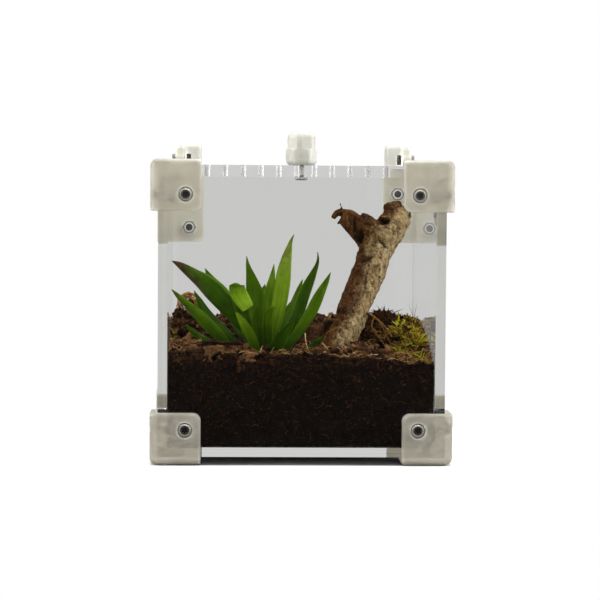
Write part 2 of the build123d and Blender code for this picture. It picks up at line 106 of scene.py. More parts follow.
class Nodes:
    """Short calls that add to a node tree."""

    def __init__(self, tree, coordinates):
        self.tree = tree
        self.place = self.add("ShaderNodeTexCoord").outputs[coordinates]

    def add(self, kind, inputs=None, **settings):
        """A node with its settings and its inputs: values, or sockets to link."""
        node = self.tree.nodes.new(kind)
        for key, value in settings.items():
            setattr(node, key, value)
        for key, value in (inputs or {}).items():
            self.put(node.inputs[key], value)
        return node

    def put(self, socket, value):
        """Set or link one input socket; a colour gets its alpha."""
        if isinstance(value, bpy.types.NodeSocket):
            self.tree.links.new(value, socket)
        elif socket.type == "RGBA":
            socket.default_value = (*value, 1.0)
        else:
            socket.default_value = value

    def axes(self):
        """The coordinates one by one."""
        return self.add("ShaderNodeSeparateXYZ", {"Vector": self.place}).outputs

    def stretched(self, x, y, z):
        """Object coordinates stretched along the axes, in turns per millimetre."""
        scale = (x / MM, y / MM, z / MM)
        return self.add("ShaderNodeMapping", {"Vector": self.place, "Scale": scale}).outputs["Vector"]

    def noise(self, per_mm, detail=4.0, roughness=0.55, place=None, distortion=0.0):
        """Noise with about this many lumps per millimetre."""
        inputs = {"Vector": place or self.place, "Scale": per_mm / MM if place is None else per_mm,
                  "Detail": detail, "Roughness": roughness, "Distortion": distortion}
        return self.add("ShaderNodeTexNoise", inputs).outputs["Fac"]

    def ramp(self, factor, stops):
        """A colour ramp through (position, colour) stops."""
        node = self.add("ShaderNodeValToRGB", {"Fac": factor})
        elements = node.color_ramp.elements
        while len(elements) < len(stops):
            elements.new(0.5)
        for element, (position, colour) in zip(elements, stops):
            element.position = position
            element.color = (*colour, 1.0)
        return node.outputs["Color"]

    def shades(self, factor, dark, light):
        """Two colours over the usual range of noise."""
        return self.ramp(factor, list(zip(NOISE_RANGE, (dark, light))))

    def spread(self, factor, low, high, to_low=0.0, to_high=1.0):
        """Map a range of values onto another, clamped."""
        inputs = {"Value": factor, "From Min": low, "From Max": high, "To Min": to_low, "To Max": to_high}
        return self.add("ShaderNodeMapRange", inputs).outputs["Result"]

    def swing(self, factor, to_low, to_high):
        """Map the usual range of noise onto another."""
        return self.spread(factor, *NOISE_RANGE, to_low, to_high)

    def maths(self, operation, a, b=0.0, c=0.0):
        """One arithmetic step on one, two or three values."""
        return self.add("ShaderNodeMath", {0: a, 1: b, 2: c}, operation=operation).outputs[0]

    def plus(self, a, b):
        """The sum of two values."""
        return self.maths("ADD", a, b)

    def times(self, a, b):
        """The product of two values."""
        return self.maths("MULTIPLY", a, b)

    def unsigned(self, a):
        """A value without its sign."""
        return self.maths("ABSOLUTE", a)

    def distance(self, a, b):
        """How far off a place is, from two distances at right angles."""
        return self.maths("SQRT", self.plus(self.times(a, a), self.times(b, b)))

    def blend(self, factor, a, b):
        """Mix two values."""
        return self.add("ShaderNodeMix", {0: factor, 2: a, 3: b}, data_type="FLOAT").outputs[0]

    def mix(self, factor, a, b, blend="MIX"):
        """Mix two colours."""
        node = self.add("ShaderNodeMix", {0: factor, 6: a, 7: b}, data_type="RGBA", blend_type=blend)
        return node.outputs[2]

    def attribute(self, name):
        """A value kept on the mesh's points."""
        return self.add("ShaderNodeAttribute", attribute_name=name).outputs["Fac"]

    def openness(self, reach_mm, **settings):
        """How open a point is towards its own solid, within a reach."""
        inputs = {"Distance": reach_mm * MM}
        node = self.add("ShaderNodeAmbientOcclusion", inputs, only_local=True, **settings)
        return node.outputs["AO"]


class Shader(Nodes):
    """A node material with a Principled surface."""

    def __init__(self, name):
        self.material = bpy.data.materials.new(name)
        self.material.use_nodes = True
        super().__init__(self.material.node_tree, "Object")
        self.surface = self.tree.nodes["Principled BSDF"]
        self.output = self.tree.nodes["Material Output"]

    def surface_inputs(self, **inputs):
        """Set or link the Principled surface's sockets, with underscores for spaces."""
        for key, value in inputs.items():
            self.put(self.surface.inputs[key.replace("_", " ")], value)

    def bump(self, height, distance_mm, strength=1.0):
        """Bump the surface by a height pattern."""
        inputs = {"Height": height, "Distance": distance_mm * MM, "Strength": strength}
        self.surface_inputs(Normal=self.add("ShaderNodeBump", inputs).outputs["Normal"])

    def joins(self, factor, other):
        """Mix the surface with another shader by a factor."""
        inputs = {0: factor, 1: self.surface.outputs["BSDF"], 2: other.outputs[0]}
        self.put(self.output.inputs["Surface"], self.add("ShaderNodeMixShader", inputs).outputs["Shader"])

    def lets_lamps_through(self, tint):
        """Let shadow rays pass, so that lamps light what stands behind."""
        ray = self.add("ShaderNodeLightPath").outputs["Is Shadow Ray"]
        self.joins(ray, self.add("ShaderNodeBsdfTransparent", {"Color": tint}))


def grey(value):
    """A neutral colour."""
    return (value, value, value)


# Materials

VENT_PITCH = 10.0 * MM
VENT_Y = 66.0 * MM
VENT_WALL = (1.55 * MM, 1.75 * MM)


def acrylic(name, vents=False):
    """Clear polished sheet with faint wipe marks, frosted on the walls of drilled vents."""
    s = Shader(name)
    colour = s.shades(s.noise(0.05, 3.0), (0.962, 0.962, 0.952), (0.972, 0.972, 0.962))
    rough = 0.0
    if vents:
        place = s.axes()
        aside = s.maths("WRAP", place["X"], VENT_PITCH / 2, -VENT_PITCH / 2)
        radius = s.distance(aside, s.maths("SUBTRACT", place["Y"], VENT_Y))
        frost = s.spread(radius, *VENT_WALL, 1.0, 0.0)
        colour = s.mix(frost, colour, grey(0.66))
        rough = s.times(frost, 0.8)
    s.surface_inputs(Base_Color=colour, Roughness=rough, IOR=1.49, Transmission_Weight=1.0,
                     Specular_Tint=grey(0.35))
    s.lets_lamps_through((0.92, 0.92, 0.91))
    return s.material


# Plastics: darker and lighter colour, and how clear
CORNER_PLASTIC = ((0.55, 0.508, 0.408), (0.635, 0.598, 0.488), 0.74)
# A lighter, less clear copy of the corner plastic for the back hinge brackets: painted light, so that they
# read pale when seen through the acrylic.
BACK_PLASTIC_PAINTED_LIGHTER = ((0.64, 0.61, 0.51), (0.72, 0.69, 0.59), 0.62)
LID_PLASTIC = ((0.61, 0.60, 0.53), (0.70, 0.69, 0.62), 0.45)


def printed_plastic(name, dark, light, clearness):
    """Natural printed plastic: milky and see-through, paler where it is thin as a painted glow of light
    through its edges, with faint layer lines.
    """
    s = Shader(name)
    waves = {"Vector": s.stretched(0, 0, 1), "Scale": 1.6, "Distortion": 0.4, "Detail": 1.0}
    layers = s.add("ShaderNodeTexWave", waves, bands_direction="Z").outputs["Fac"]
    cloud = s.noise(0.16, 3.0)
    # Painted light: the thin mask lightens the colour towards (0.90, 0.895, 0.83) and lowers the transmission
    # at thin edges and corners, as a painted glow of light bleeding through them.
    thin = s.spread(s.openness(3.2, samples=16, inside=True), 0.80, 0.40, 0.0, 0.85)
    colour = s.mix(thin, s.shades(cloud, dark, light), (0.90, 0.895, 0.83))
    colour = s.mix(s.spread(layers, 0.2, 0.8, 0.0, 0.10), colour, (0.92, 0.91, 0.86))
    see_through = s.swing(s.noise(0.3, 2.0), clearness - 0.06, clearness + 0.06)
    s.surface_inputs(Base_Color=colour, Roughness=s.swing(cloud, 0.34, 0.44), IOR=1.40,
                     Transmission_Weight=s.times(see_through, s.spread(thin, 0.0, 1.0, 1.0, 0.6)),
                     Specular_Tint=grey(0.5))
    s.bump(s.noise(0.5, 3.0), 0.05, 0.2)
    return s.material


SCREW_ACROSS = 60.7
SCREW_HEIGHTS = (18.3, 140.7, 120.7)
PAINTED_RINGS_REACH = 5.0

# Steels: darker and lighter colour, and painted highlight and shade rings as shares of the reach with their
# brightness
SCREW_STEEL = ((0.50, 0.47, 0.42), (0.66, 0.63, 0.57), ((0.46, 0.12), (0.52, 0.9), (0.64, 1.0), (0.69, 0.25)))
NUT_STEEL = ((0.66, 0.64, 0.60), (0.86, 0.84, 0.80), ((0.53, 1.0), (0.57, 0.28), (0.70, 0.34), (0.80, 0.6)))


def steel(name, dark, light, rings):
    """Plain steel, browner in its worn patches, with painted shade in its hollows and painted highlight and
    shade rings round the screws' axes.
    """
    s = Shader(name)
    worn = s.noise(0.9, 4.0)
    along = s.axes()
    nearer = s.maths("MINIMUM", s.unsigned(along["X"]), s.unsigned(along["Y"]))
    level = 1.0
    for height in SCREW_HEIGHTS:
        level = s.maths("MINIMUM", level, s.unsigned(s.maths("SUBTRACT", along["Z"], height * MM)))
    radius = s.distance(s.maths("SUBTRACT", nearer, SCREW_ACROSS * MM), level)
    # Painted highlight and shade: rings round the screw axes lighten and darken the steel, standing in for
    # reflections on the heads and shade in their recesses.
    ring = s.ramp(s.spread(radius, 0.0, PAINTED_RINGS_REACH * MM), [(share, grey(tone)) for share, tone in rings])
    colour = s.mix(1.0, s.shades(worn, dark, light), ring, "MULTIPLY")
    # Painted shade: where the surface is closed in by its own solid, as in sockets and hollows, the colour
    # goes to near-black.
    colour = s.mix(s.spread(s.openness(2.0, samples=8), 0.55, 0.90), (0.012, 0.010, 0.009), colour)
    s.surface_inputs(Base_Color=colour, Metallic=0.75, Roughness=s.swing(worn, 0.30, 0.46))
    s.bump(s.noise(4.0, 3.0), 0.02, 0.4)
    return s.material


SOIL_DRYING = (60 * MM, 74 * MM)
SOIL_DRYING_WANDER = 22 * MM


def earth():
    """Packed moist soil: near-black brown, redder and drier towards the top."""
    s = Shader("soil")
    crumbs = s.noise(0.55, 8.0, 0.72)
    deep = s.ramp(crumbs, [(0.36, (0.0012, 0.0007, 0.0005)), (0.54, (0.0055, 0.0030, 0.0018)),
                           (0.70, (0.020, 0.0105, 0.0062))])
    near_top = s.ramp(crumbs, [(0.36, (0.0035, 0.0015, 0.0006)), (0.54, (0.024, 0.0100, 0.0038)),
                               (0.70, (0.095, 0.044, 0.016))])
    wander = s.plus(s.axes()["Z"], s.times(s.noise(0.16, 5.0, 0.6), SOIL_DRYING_WANDER))
    colour = s.mix(s.spread(wander, *SOIL_DRYING), deep, near_top)
    flecks = s.noise(1.1, 2.0, 0.5)
    colour = s.mix(s.spread(flecks, 0.66, 0.72, 0.0, 0.8), colour, (0.075, 0.032, 0.014))
    s.surface_inputs(Base_Color=colour, Roughness=s.swing(crumbs, 0.7, 0.95), Specular_IOR_Level=0.06)
    s.bump(s.plus(crumbs, s.times(s.noise(2.6, 6.0, 0.7), 0.5)), 1.1)
    return s.material


# Crumbs and chips: dark, middle and light colour
CRUMB_COLOURS = ((0.0020, 0.0008, 0.0003), (0.019, 0.0075, 0.0026), (0.125, 0.060, 0.022))
CHIP_COLOURS = ((0.004, 0.0017, 0.0006), (0.050, 0.0215, 0.0078), (0.200, 0.105, 0.046))


def crumb(name, dark, middle, light):
    """Bark and soil crumbs, each piece with its own tone and grain."""
    s = Shader(name)
    grain = s.noise(0.8, 6.0, 0.68)
    streaks = s.noise(1.0, 5.0, 0.6, place=s.stretched(0.35, 0.9, 1.6))
    blend = s.plus(s.attribute("tone"), s.spread(s.plus(grain, streaks), 0.7, 1.3, -0.30, 0.30))
    s.surface_inputs(Base_Color=s.ramp(blend, [(0.0, dark), (0.5, middle), (1.0, light)]),
                     Roughness=s.swing(grain, 0.7, 0.95), Specular_IOR_Level=0.04)
    s.bump(s.plus(s.noise(1.8, 6.0, 0.7), streaks), 0.5, 0.9)
    return s.material


def fibre():
    """Fine roots and coir, from dark brown to straw."""
    s = Shader("root_fibre")
    tone = s.plus(s.attribute("tone"), s.swing(s.noise(0.4), -0.15, 0.15))
    colour = s.ramp(tone, [(0.0, (0.014, 0.0060, 0.0025)), (0.40, (0.090, 0.035, 0.0095)),
                           (0.62, (0.210, 0.092, 0.020)), (0.85, (0.340, 0.205, 0.075)),
                           (1.0, (0.450, 0.330, 0.170))])
    s.surface_inputs(Base_Color=colour, Roughness=0.8, Specular_IOR_Level=0.1)
    s.bump(s.noise(1.2), 0.08, 0.6)
    return s.material


def bark():
    """The branch's weathered bark: brown on the left, pale and speckled on the right, the right side's
    paleness partly painted light, with dark cracks that hold painted shade.
    """
    s = Shader("branch_bark")
    along = s.noise(1.0, 8.0, 0.70, place=s.stretched(0.34, 0.34, 0.13), distortion=0.6)
    speckle = s.noise(1.3, 6.0, 0.75)
    mottle = s.noise(0.24, 6.0, 0.70)
    # Painted light: the pale value is partly the bark's pale colour and partly painted light on the right
    # side, where the lamps fall.
    pale_and_lit_side = s.attribute("pale")
    brown = s.ramp(along, [(0.34, (0.008, 0.0030, 0.0008)), (0.47, (0.044, 0.0165, 0.0028)),
                           (0.58, (0.098, 0.042, 0.0080)), (0.76, (0.200, 0.112, 0.034))])
    pale = s.ramp(along, [(0.32, (0.034, 0.016, 0.0055)), (0.43, (0.140, 0.086, 0.033)),
                          (0.55, (0.275, 0.200, 0.098)), (0.72, (0.430, 0.350, 0.215))])
    base = s.mix(s.spread(s.plus(pale_and_lit_side, s.swing(mottle, -0.45, 0.45)), 0.25, 0.80), brown, pale)
    red = s.ramp(along, [(0.4, (0.022, 0.008, 0.003)), (0.7, (0.115, 0.048, 0.020))])
    base = s.mix(s.attribute("red"), base, red)
    cream = s.ramp(mottle, [(0.3, (0.20, 0.135, 0.065)), (0.6, (0.34, 0.25, 0.13))])
    base = s.mix(s.attribute("cream"), base, cream)
    specks = s.times(s.spread(speckle, 0.56, 0.66), s.spread(pale_and_lit_side, 0.35, 0.8, 0.12, 0.75))
    base = s.mix(specks, base, (0.42, 0.36, 0.25))
    pits = s.spread(s.noise(0.6, 5.0, 0.75), 0.46, 0.37, 0.0, 0.9)
    base = s.mix(pits, base, (0.014, 0.0065, 0.0030))
    # Painted shade: the dark mask takes cracks and the hole to near-black, partly dark bark and partly
    # painted shade in them.
    base = s.mix(s.attribute("dark"), base, (0.0035, 0.0016, 0.0009))
    s.surface_inputs(Base_Color=base, Roughness=s.swing(along, 0.75, 0.95), Specular_IOR_Level=0.03)
    s.bump(s.plus(along, s.times(speckle, 0.6)), 1.2)
    return s.material


def leaf():
    """Waxy green leaf: lengthwise veins, painted light by how lit it is, painted shade lower down and towards
    the root, browned dark towards the tip.
    """
    s = Shader("leaf")
    along = s.attribute("along")
    across = s.attribute("across")
    lit = s.attribute("lit")
    lines = {"X": s.times(across, 5.0), "Y": s.times(along, 2.0), "Z": s.times(lit, 9.0)}
    streaks = s.noise(1.0, 3.0, 0.5, place=s.add("ShaderNodeCombineXYZ", lines).outputs[0])
    cloud = s.noise(0.14, 3.0)
    # Painted light and shade: the lit value and the height along the blade brighten the leaf, so lower parts
    # and less lit leaves come out darker.
    height = s.spread(along, 0.0, 0.75)
    tone = s.times(lit, s.spread(height, 0.0, 1.0, 0.35, 1.0))
    tone = s.plus(tone, s.spread(streaks, 0.35, 0.65, -0.05, 0.08))
    tone = s.plus(tone, s.swing(cloud, -0.06, 0.08))
    green = s.ramp(tone, [(0.0, (0.009, 0.027, 0.0002)), (0.20, (0.021, 0.052, 0.0004)),
                          (0.50, (0.054, 0.106, 0.0012)), (0.80, (0.120, 0.205, 0.0080)),
                          (1.0, (0.190, 0.280, 0.030))])
    # Painted shade: the blade darkens to a deep green towards its root, inside the rosette.
    green = s.mix(s.spread(along, 0.0, 0.30, 0.60, 0.0), green, (0.0040, 0.0170, 0.0003))
    green = s.mix(s.spread(s.unsigned(across), 0.86, 1.0, 0.0, 0.30), green, (0.100, 0.150, 0.016))
    ragged = s.swing(s.noise(0.22, 4.0), -0.16, 0.16)
    reach = s.plus(s.plus(along, ragged), s.times(across, 0.12))
    browned = s.times(s.spread(reach, 0.60, 0.80), s.attribute("browned"))
    colour = s.mix(browned, green, s.shades(cloud, (0.012, 0.006, 0.004), (0.050, 0.028, 0.016)))
    s.surface_inputs(Base_Color=colour, Roughness=s.swing(cloud, 0.42, 0.55), Specular_IOR_Level=0.04,
                     Specular_Tint=(0.75, 1.0, 0.4), Subsurface_Weight=0.10, Subsurface_Scale=1.0 * MM,
                     Subsurface_Radius=(0.5, 1.0, 0.2))
    s.bump(s.plus(streaks, s.noise(1.6, 4.0)), 0.08, 0.5)
    return s.material


def moss():
    """Moss strands: yellow-green tips on brown."""
    s = Shader("moss")
    living = s.ramp(s.attribute("tone"), [
        (0.0, (0.006, 0.0025, 0.0008)), (0.25, (0.060, 0.026, 0.005)), (0.42, (0.135, 0.064, 0.011)),
        (0.60, (0.160, 0.130, 0.008)), (0.8, (0.270, 0.260, 0.008)), (1.0, (0.380, 0.380, 0.020))])
    root = s.spread(s.attribute("along"), 0.0, 0.5, 0.75, 0.0)
    s.surface_inputs(Base_Color=s.mix(root, living, (0.012, 0.0055, 0.0018)), Roughness=0.85,
                     Specular_IOR_Level=0.04)
    s.bump(s.noise(1.5), 0.1, 0.5)
    return s.material


# Mesh helpers

def raw_mesh(name, points, faces):
    """A mesh from points in millimetres."""
    mesh = bpy.data.meshes.new(name)
    mesh.from_pydata([Vector(p) * MM for p in points], [], faces)
    return mesh


def piece(name, points, faces, material, replaced=(), smooth=True, values=None, body="tank"):
    """A mesh from points in millimetres, riding on a body, with named values on its points."""
    mesh = raw_mesh(name, points, faces)
    mesh.validate()
    mesh.update()
    for key, numbers in (values or {}).items():
        mesh.attributes.new(key, "FLOAT", "POINT").data.foreach_set("value", numbers)
    mesh.polygons.foreach_set("use_smooth", [smooth] * len(mesh.polygons))
    mesh.materials.append(material)
    thing = link(name, mesh)
    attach(thing, body)
    if replaced:
        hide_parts(*replaced)
    return thing


class Heap:
    """Points, faces and values gathered from many small shapes into one mesh."""

    def __init__(self, *keys):
        self.points = []
        self.faces = []
        self.values = {key: [] for key in keys}

    def add(self, points, faces, **values):
        """Add one shape; each value is one number or one for each of its points."""
        start = len(self.points)
        self.points += points
        self.faces += [[start + i for i in face] for face in faces]
        for key, kept in self.values.items():
            given = values[key]
            kept += list(given) if hasattr(given, "__len__") else [given] * len(points)

    def piece(self, name, material, node_slot, replaced=(), smooth=True):
        """The whole heap as one piece."""
        return piece(name, self.points, self.faces, material, replaced, smooth, self.values)


def ring_faces(rings, sides):
    """Faces of a skin over rings of points, shut at both ends."""
    faces = []
    for ring in range(rings - 1):
        for k in range(sides):
            a = ring * sides + k
            b = ring * sides + (k + 1) % sides
            faces.append([a, b, b + sides, a + sides])
    return faces + [list(range(sides))[::-1], [(rings - 1) * sides + k for k in range(sides)]]


def neighbours(line, index):
    """What stands before and after a place in a line, or the place itself at its ends."""
    return line[max(index - 1, 0)], line[min(index + 1, len(line) - 1)]


def tube(path, radii, sides):
    """Points and faces of a closed tube along a path, with a radius at each point."""
    points = []
    for index, centre in enumerate(path):
        before, after = neighbours(path, index)
        ahead = (after - before).normalized()
        first = ahead.cross(Vector((0.3, 0.2, 1.0)))
        if first.length < 0.1:
            first = ahead.cross(Vector((1.0, 0.1, 0.2)))
        first.normalize()
        second = ahead.cross(first)
        for k in range(sides):
            angle = FULL_TURN * k / sides
            points.append(centre + (first * math.cos(angle) + second * math.sin(angle)) * radii[index])
    return points, ring_faces(len(path), sides)


def tapered(thick, count, loss):
    """Radii that fall evenly by a share from the first to the last."""
    return [thick * (1.0 - loss * i / (count - 1)) for i in range(count)]


def between(before, a, b, after, t):
    """The value at t on a smooth line from a to b, for numbers or vectors."""
    return 0.5 * (2 * a + (b - before) * t + (2 * before - 5 * a + 4 * b - after) * t * t
                  + (3 * a - before - 3 * b + after) * t ** 3)


def smooth_path(line, steps):
    """Points and radii along a smooth line through places with radii."""
    places = [Vector(p) for p, r in line]
    radii = [r for p, r in line]
    path, widths = [], []
    for i in range(len(places) - 1):
        before, b = neighbours(places, i)
        after = places[min(i + 2, len(places) - 1)]
        for k in range(steps):
            t = k / steps
            path.append(between(before, places[i], b, after, t))
            widths.append(radii[i] + (radii[i + 1] - radii[i]) * t)
    return path + [places[-1]], widths + [radii[-1]]


THREAD_STEPS = 5


def thread(line, thick):
    """A smooth path through places, for roots and twigs of one thickness."""
    return smooth_path([(place, thick) for place in line], THREAD_STEPS)[0]


# The bed: soil, crumbs and fibres

soil_low, soil_high = inner_box("soil")
SOIL_PROFILE = [(-69.8, 57.0), (-49.8, 60.0), (-9.8, 66.0), (69.8, 70.0)]
SOIL_STEPS = (140, 140, 48)

# Humps and hollows: place, half sizes and rise
SOIL_HUMPS = [
    ((-56, -4), (20, 26), 3), ((54, 2), (20, 24), 4), ((10, -12), (10, 11), 4), ((-56, -58), (26, 12), 3),
    ((66, -64), (34, 16), -5), ((-10, 44), (24, 20), 3), ((40, 56), (20, 16), -2),
    ((-20, -52), (17, 12), -3.6), ((-52, 68), (30, 16), -3), ((62, 62), (14, 30), -4),
]


def soil_surface(x, y):
    """The bed's height at a place: the CAD profile, a few humps and small lumps."""
    for (y0, z0), (y1, z1) in zip(SOIL_PROFILE, SOIL_PROFILE[1:]):
        if y <= y1:
            break
    height = z0 + (z1 - z0) * (y - y0) / (y1 - y0)
    for (hump_x, hump_y), (wide, deep), rise in SOIL_HUMPS:
        height += rise * math.exp(-((x - hump_x) / wide) ** 2 - ((y - hump_y) / deep) ** 2)
    for lump, fineness, level in ((1.3, 0.12, 3.1), (1.2, 0.28, 7.7), (0.8, 0.7, 1.3)):
        height += lump * noise.noise((x * fineness, y * fineness, level))
    return height


def make_soil(material):
    """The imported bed: a closed block with a lumpy top and crumbled sides."""
    nx, ny, nz = SOIL_STEPS
    index_of, points, faces = {}, [], []

    def point(i, j, k):
        """The number of the point at a step of the block's surface."""
        if (i, j, k) not in index_of:
            x = soil_low.x + (soil_high.x - soil_low.x) * i / nx
            y = soil_low.y + (soil_high.y - soil_low.y) * j / ny
            z = soil_low.z + (soil_surface(x, y) - soil_low.z) * k / nz
            push = Vector(((i == 0) - (i == nx), (j == 0) - (j == ny), 0.0))
            dent = 0.25 + 0.75 * noise.noise((x * 0.35, y * 0.35, z * 0.35))
            dent += 0.55 * noise.noise((x * 0.9, y * 0.9, z * 0.9))
            index_of[i, j, k] = len(points)
            points.append(Vector((x, y, z)) + push * max(dent, 0.0))
        return index_of[i, j, k]

    for across, up, place in (
            (nx, ny, lambda i, j: (i, j, nz)), (ny, nx, lambda j, i: (i, j, 0)),
            (nx, nz, lambda i, k: (i, 0, k)), (nz, nx, lambda k, i: (i, ny, k)),
            (nz, ny, lambda k, j: (0, j, k)), (ny, nz, lambda j, k: (nx, j, k))):
        for a in range(across):
            for b in range(up):
                corners = ((a, b), (a + 1, b), (a + 1, b + 1), (a, b + 1))
                faces.append([point(*place(*corner)) for corner in corners])
    return piece("soil_bed", points, faces, material, ["soil"])


def cube_shape(steps):
    """Points and faces of a cube from -1 to 1 with a grid on its sides."""
    index_of, points, faces = {}, [], []

    def point(*place):
        """The number of the point at a step of the cube's surface."""
        if place not in index_of:
            index_of[place] = len(points)
            points.append(Vector([2 * c / steps - 1 for c in place]))
        return index_of[place]

    for axis in range(3):
        for end in (0, steps):
            for i in range(steps):
                for j in range(steps):
                    ring = []
                    for a, b in ((i, j), (i + 1, j), (i + 1, j + 1), (i, j + 1)):
                        place = [0, 0, 0]
                        place[axis], place[(axis + 1) % 3], place[(axis + 2) % 3] = end, a, b
                        ring.append(point(*place))
                    faces.append(ring if end else ring[::-1])
    return points, faces


def shard(unit, size, turn, draw, rough, ball_share):
    """A cube's points made into an angular, uneven shard about the origin."""
    corners = {}
    for corner in ((a, b, c) for a in (-1, 1) for b in (-1, 1) for c in (-1, 1)):
        corners[corner] = Vector([c * draw.uniform(1 - rough, 1) for c in corner])
    seed = Vector((draw.uniform(0, 90), draw.uniform(0, 90), 0))
    shaped = []
    for p in unit:
        q = Vector((0, 0, 0))
        for corner, moved in corners.items():
            q += moved * ((1 + p.x * corner[0]) * (1 + p.y * corner[1]) * (1 + p.z * corner[2]) / 8)
        q = q.lerp(p.normalized() * 0.95, ball_share)
        split = Vector((p.x, p.y * 4, p.z * 5))
        q *= 1 + 0.22 * noise.noise(p * 1.6 + seed) + 0.10 * noise.noise(split + seed)
        shaped.append(turn @ Vector((q.x * size[0], q.y * size[1], q.z * size[2])))
    return shaped


def random_turn(draw, tilt):
    """A turn about the upright axis with some tilt."""
    spin = Matrix.Rotation(draw.uniform(0, FULL_TURN), 3, "Z")
    lean = Matrix.Rotation(draw.uniform(-tilt, tilt), 3, "X")
    return spin @ lean @ Matrix.Rotation(draw.uniform(-tilt, tilt), 3, "Y")


def on_bed(x, y, margin):
    """A place kept this far inside the bed's edges."""
    x = held(x, soil_low.x + margin, soil_high.x - margin)
    return x, held(y, soil_low.y + margin, soil_high.y - margin)


# Crumbs: how many, sizes and the share at the front wall
SOIL_CRUMBS = (3400, (0.35, 1.3), 0.40)
BARK_CRUMBS = (1100, (1.0, 3.2), 0.16)
CRUMB_SHAPES = ((0.8, 1.5), (0.5, 1.0), (0.25, 0.65))
WALL_GAP = 0.04
FRONT_CRUMB_DEPTH = 44.0


def behind_wall(points):
    """Points kept behind the front wall, so that what leans on it is flat there."""
    return [Vector((p.x, max(p.y, soil_low.y + WALL_GAP), p.z)) for p in points]


def make_crumbs(name, count, sizes, front_share, material, seed):
    """Loose shards over the bed, some pressed against the front wall."""
    draw = random.Random(seed)
    unit, faces = cube_shape(2)
    heap = Heap("tone")
    for number in range(count):
        size = sizes[0] + (sizes[1] - sizes[0]) * draw.random() ** 2
        shape = [size * draw.uniform(*share) for share in CRUMB_SHAPES]
        edge = max(shape) * 1.25
        x = draw.uniform(soil_low.x + edge, soil_high.x - edge)
        if number < count * front_share:
            y = soil_low.y + size * 0.5
            depth = draw.random() ** 2
            z = soil_surface(x, y) - FRONT_CRUMB_DEPTH * depth - 0.3
            tone = draw.random() ** 1.5 * (0.62 - 0.40 * depth)
        else:
            y = draw.uniform(soil_low.y + edge, soil_high.y - edge)
            z = soil_surface(x, y) + size * draw.uniform(-0.3, 1.0)
            tone = draw.random()
        shaped = shard(unit, shape, random_turn(draw, 0.9), draw, 0.5, 0.14)
        heap.add(behind_wall([p + Vector((x, y, z)) for p in shaped]), faces, tone=tone)
    return heap.piece(name, material, "bark", smooth=False)


# Bark chips: place and rise over the bed, half sizes, turn, tilt and tone
CHIPS = [
    ((-46.4, -67, -1.6), (5.4, 3.4, 4), 0.12, 0.05, 0.66),
    ((-55.4, -67.2, -2.4), (5, 3, 3), -0.2, 0.1, 0.3), ((-27, -67.2, -1.0), (4.4, 3, 2.4), 0.2, 0.0, 0.8),
    ((-31, -67.6, -5), (3.4, 2.4, 2.8), 0.5, 0.5, 0.52),
    ((-33, -67.6, -7.6), (3.6, 2.4, 2.2), -0.3, -0.3, 0.35),
    ((-42.6, -62, 1.6), (10, 2.2, 0.9), 0.05, 0.0, 0.08), ((7.4, -36, 2.2), (3.4, 3.2, 5.6), 0.3, 0.1, 0.5),
    ((10, -32.5, 4), (3.4, 3, 3.8), 0.9, -0.3, 0.4), ((15.5, -29.5, 3), (2.8, 3, 6.2), 0.2, 0.15, 0.05),
    ((1.5, -44, 0.6), (4.4, 3.2, 2.4), 0.2, 0.0, 0.3), ((-40, 8, 1.0), (6.6, 4, 2.2), 0.7, 0.1, 0.35),
    ((-18, 22, 1.2), (6, 4.4, 2.6), -0.6, 0.1, 0.5), ((4, 34, 1.0), (7, 4, 2.2), 1.05, -0.1, 0.45),
    ((-36, 48, 1.0), (6.2, 3.6, 2.2), 0.25, 0.1, 0.55), ((36, 48, 1.0), (6.6, 4, 2.2), -0.35, 0.1, 0.4),
    ((22, 18, 1.0), (5, 3.6, 2.2), 1.3, 0.1, 0.5), ((34, -66.8, -1.6), (3.4, 2.4, 1.5), 0.4, 0.1, 0.36),
    ((2, -67.4, -2.2), (3.8, 2.4, 1.8), -0.1, 0.2, 0.32),
    ((-14, -67.6, -3), (3, 2.2, 1.8), 0.3, -0.2, 0.38), ((22, -67.6, -2.4), (4.2, 2.2, 1.6), 0.1, 0.2, 0.3),
    ((-64.4, -67.2, -3.6), (3.4, 2.6, 2.6), 0.6, 0.2, 0.46),
    ((48, -66.8, -2.5), (3.4, 2.4, 1.6), 0.5, 0.1, 0.3),
    ((-68.2, -58, -1.0), (0.9, 5, 4.4), 0.0, 0.05, 0.74),
    ((12, -62, 0.6), (4.6, 2.4, 1.0), -0.3, 0.1, 0.46), ((28, -58, 0.8), (5.2, 2.2, 1.0), 0.3, -0.1, 0.3),
    ((44, -56, 0.8), (4.2, 2.6, 1.2), -0.5, 0.1, 0.4),
]
CHIP_GROWTH = 1.12
CHIP_STEPS = 9


def make_chips(material):
    """The larger bark chips, angular and split along the grain."""
    draw = random.Random(SEED + 6)
    unit, faces = cube_shape(CHIP_STEPS)
    heap = Heap("tone")
    for (x, y, rise), size, turn, tilt, tone in CHIPS:
        spin = Matrix.Rotation(turn, 3, "Z") @ Matrix.Rotation(tilt, 3, "Y")
        shaped = shard(unit, [CHIP_GROWTH * half for half in size], spin, draw, 0.30, 0.12)
        place = Vector((x, y, soil_surface(x, y) + rise))
        heap.add(behind_wall([p + place for p in shaped]), faces, tone=tone)
    return heap.piece("bark_chip_set", material, "bark", ["bark_chips"])


def strand_path(draw, start, length, steps, wander, lift):
    """A wandering path over the bed's surface, with its middle lifted."""
    heading = draw.uniform(0, FULL_TURN)
    bend = draw.uniform(-wander, wander)
    path = []
    x, y = start
    for step in range(steps):
        x, y = on_bed(x, y, 0.6)
        rise = 0.3 + lift * math.sin(math.pi * (step / (steps - 1)))
        path.append(Vector((x, y, soil_surface(x, y) + rise)))
        heading += bend + draw.uniform(-wander, wander) * 0.5
        x += math.cos(heading) * length / steps
        y += math.sin(heading) * length / steps
    return path


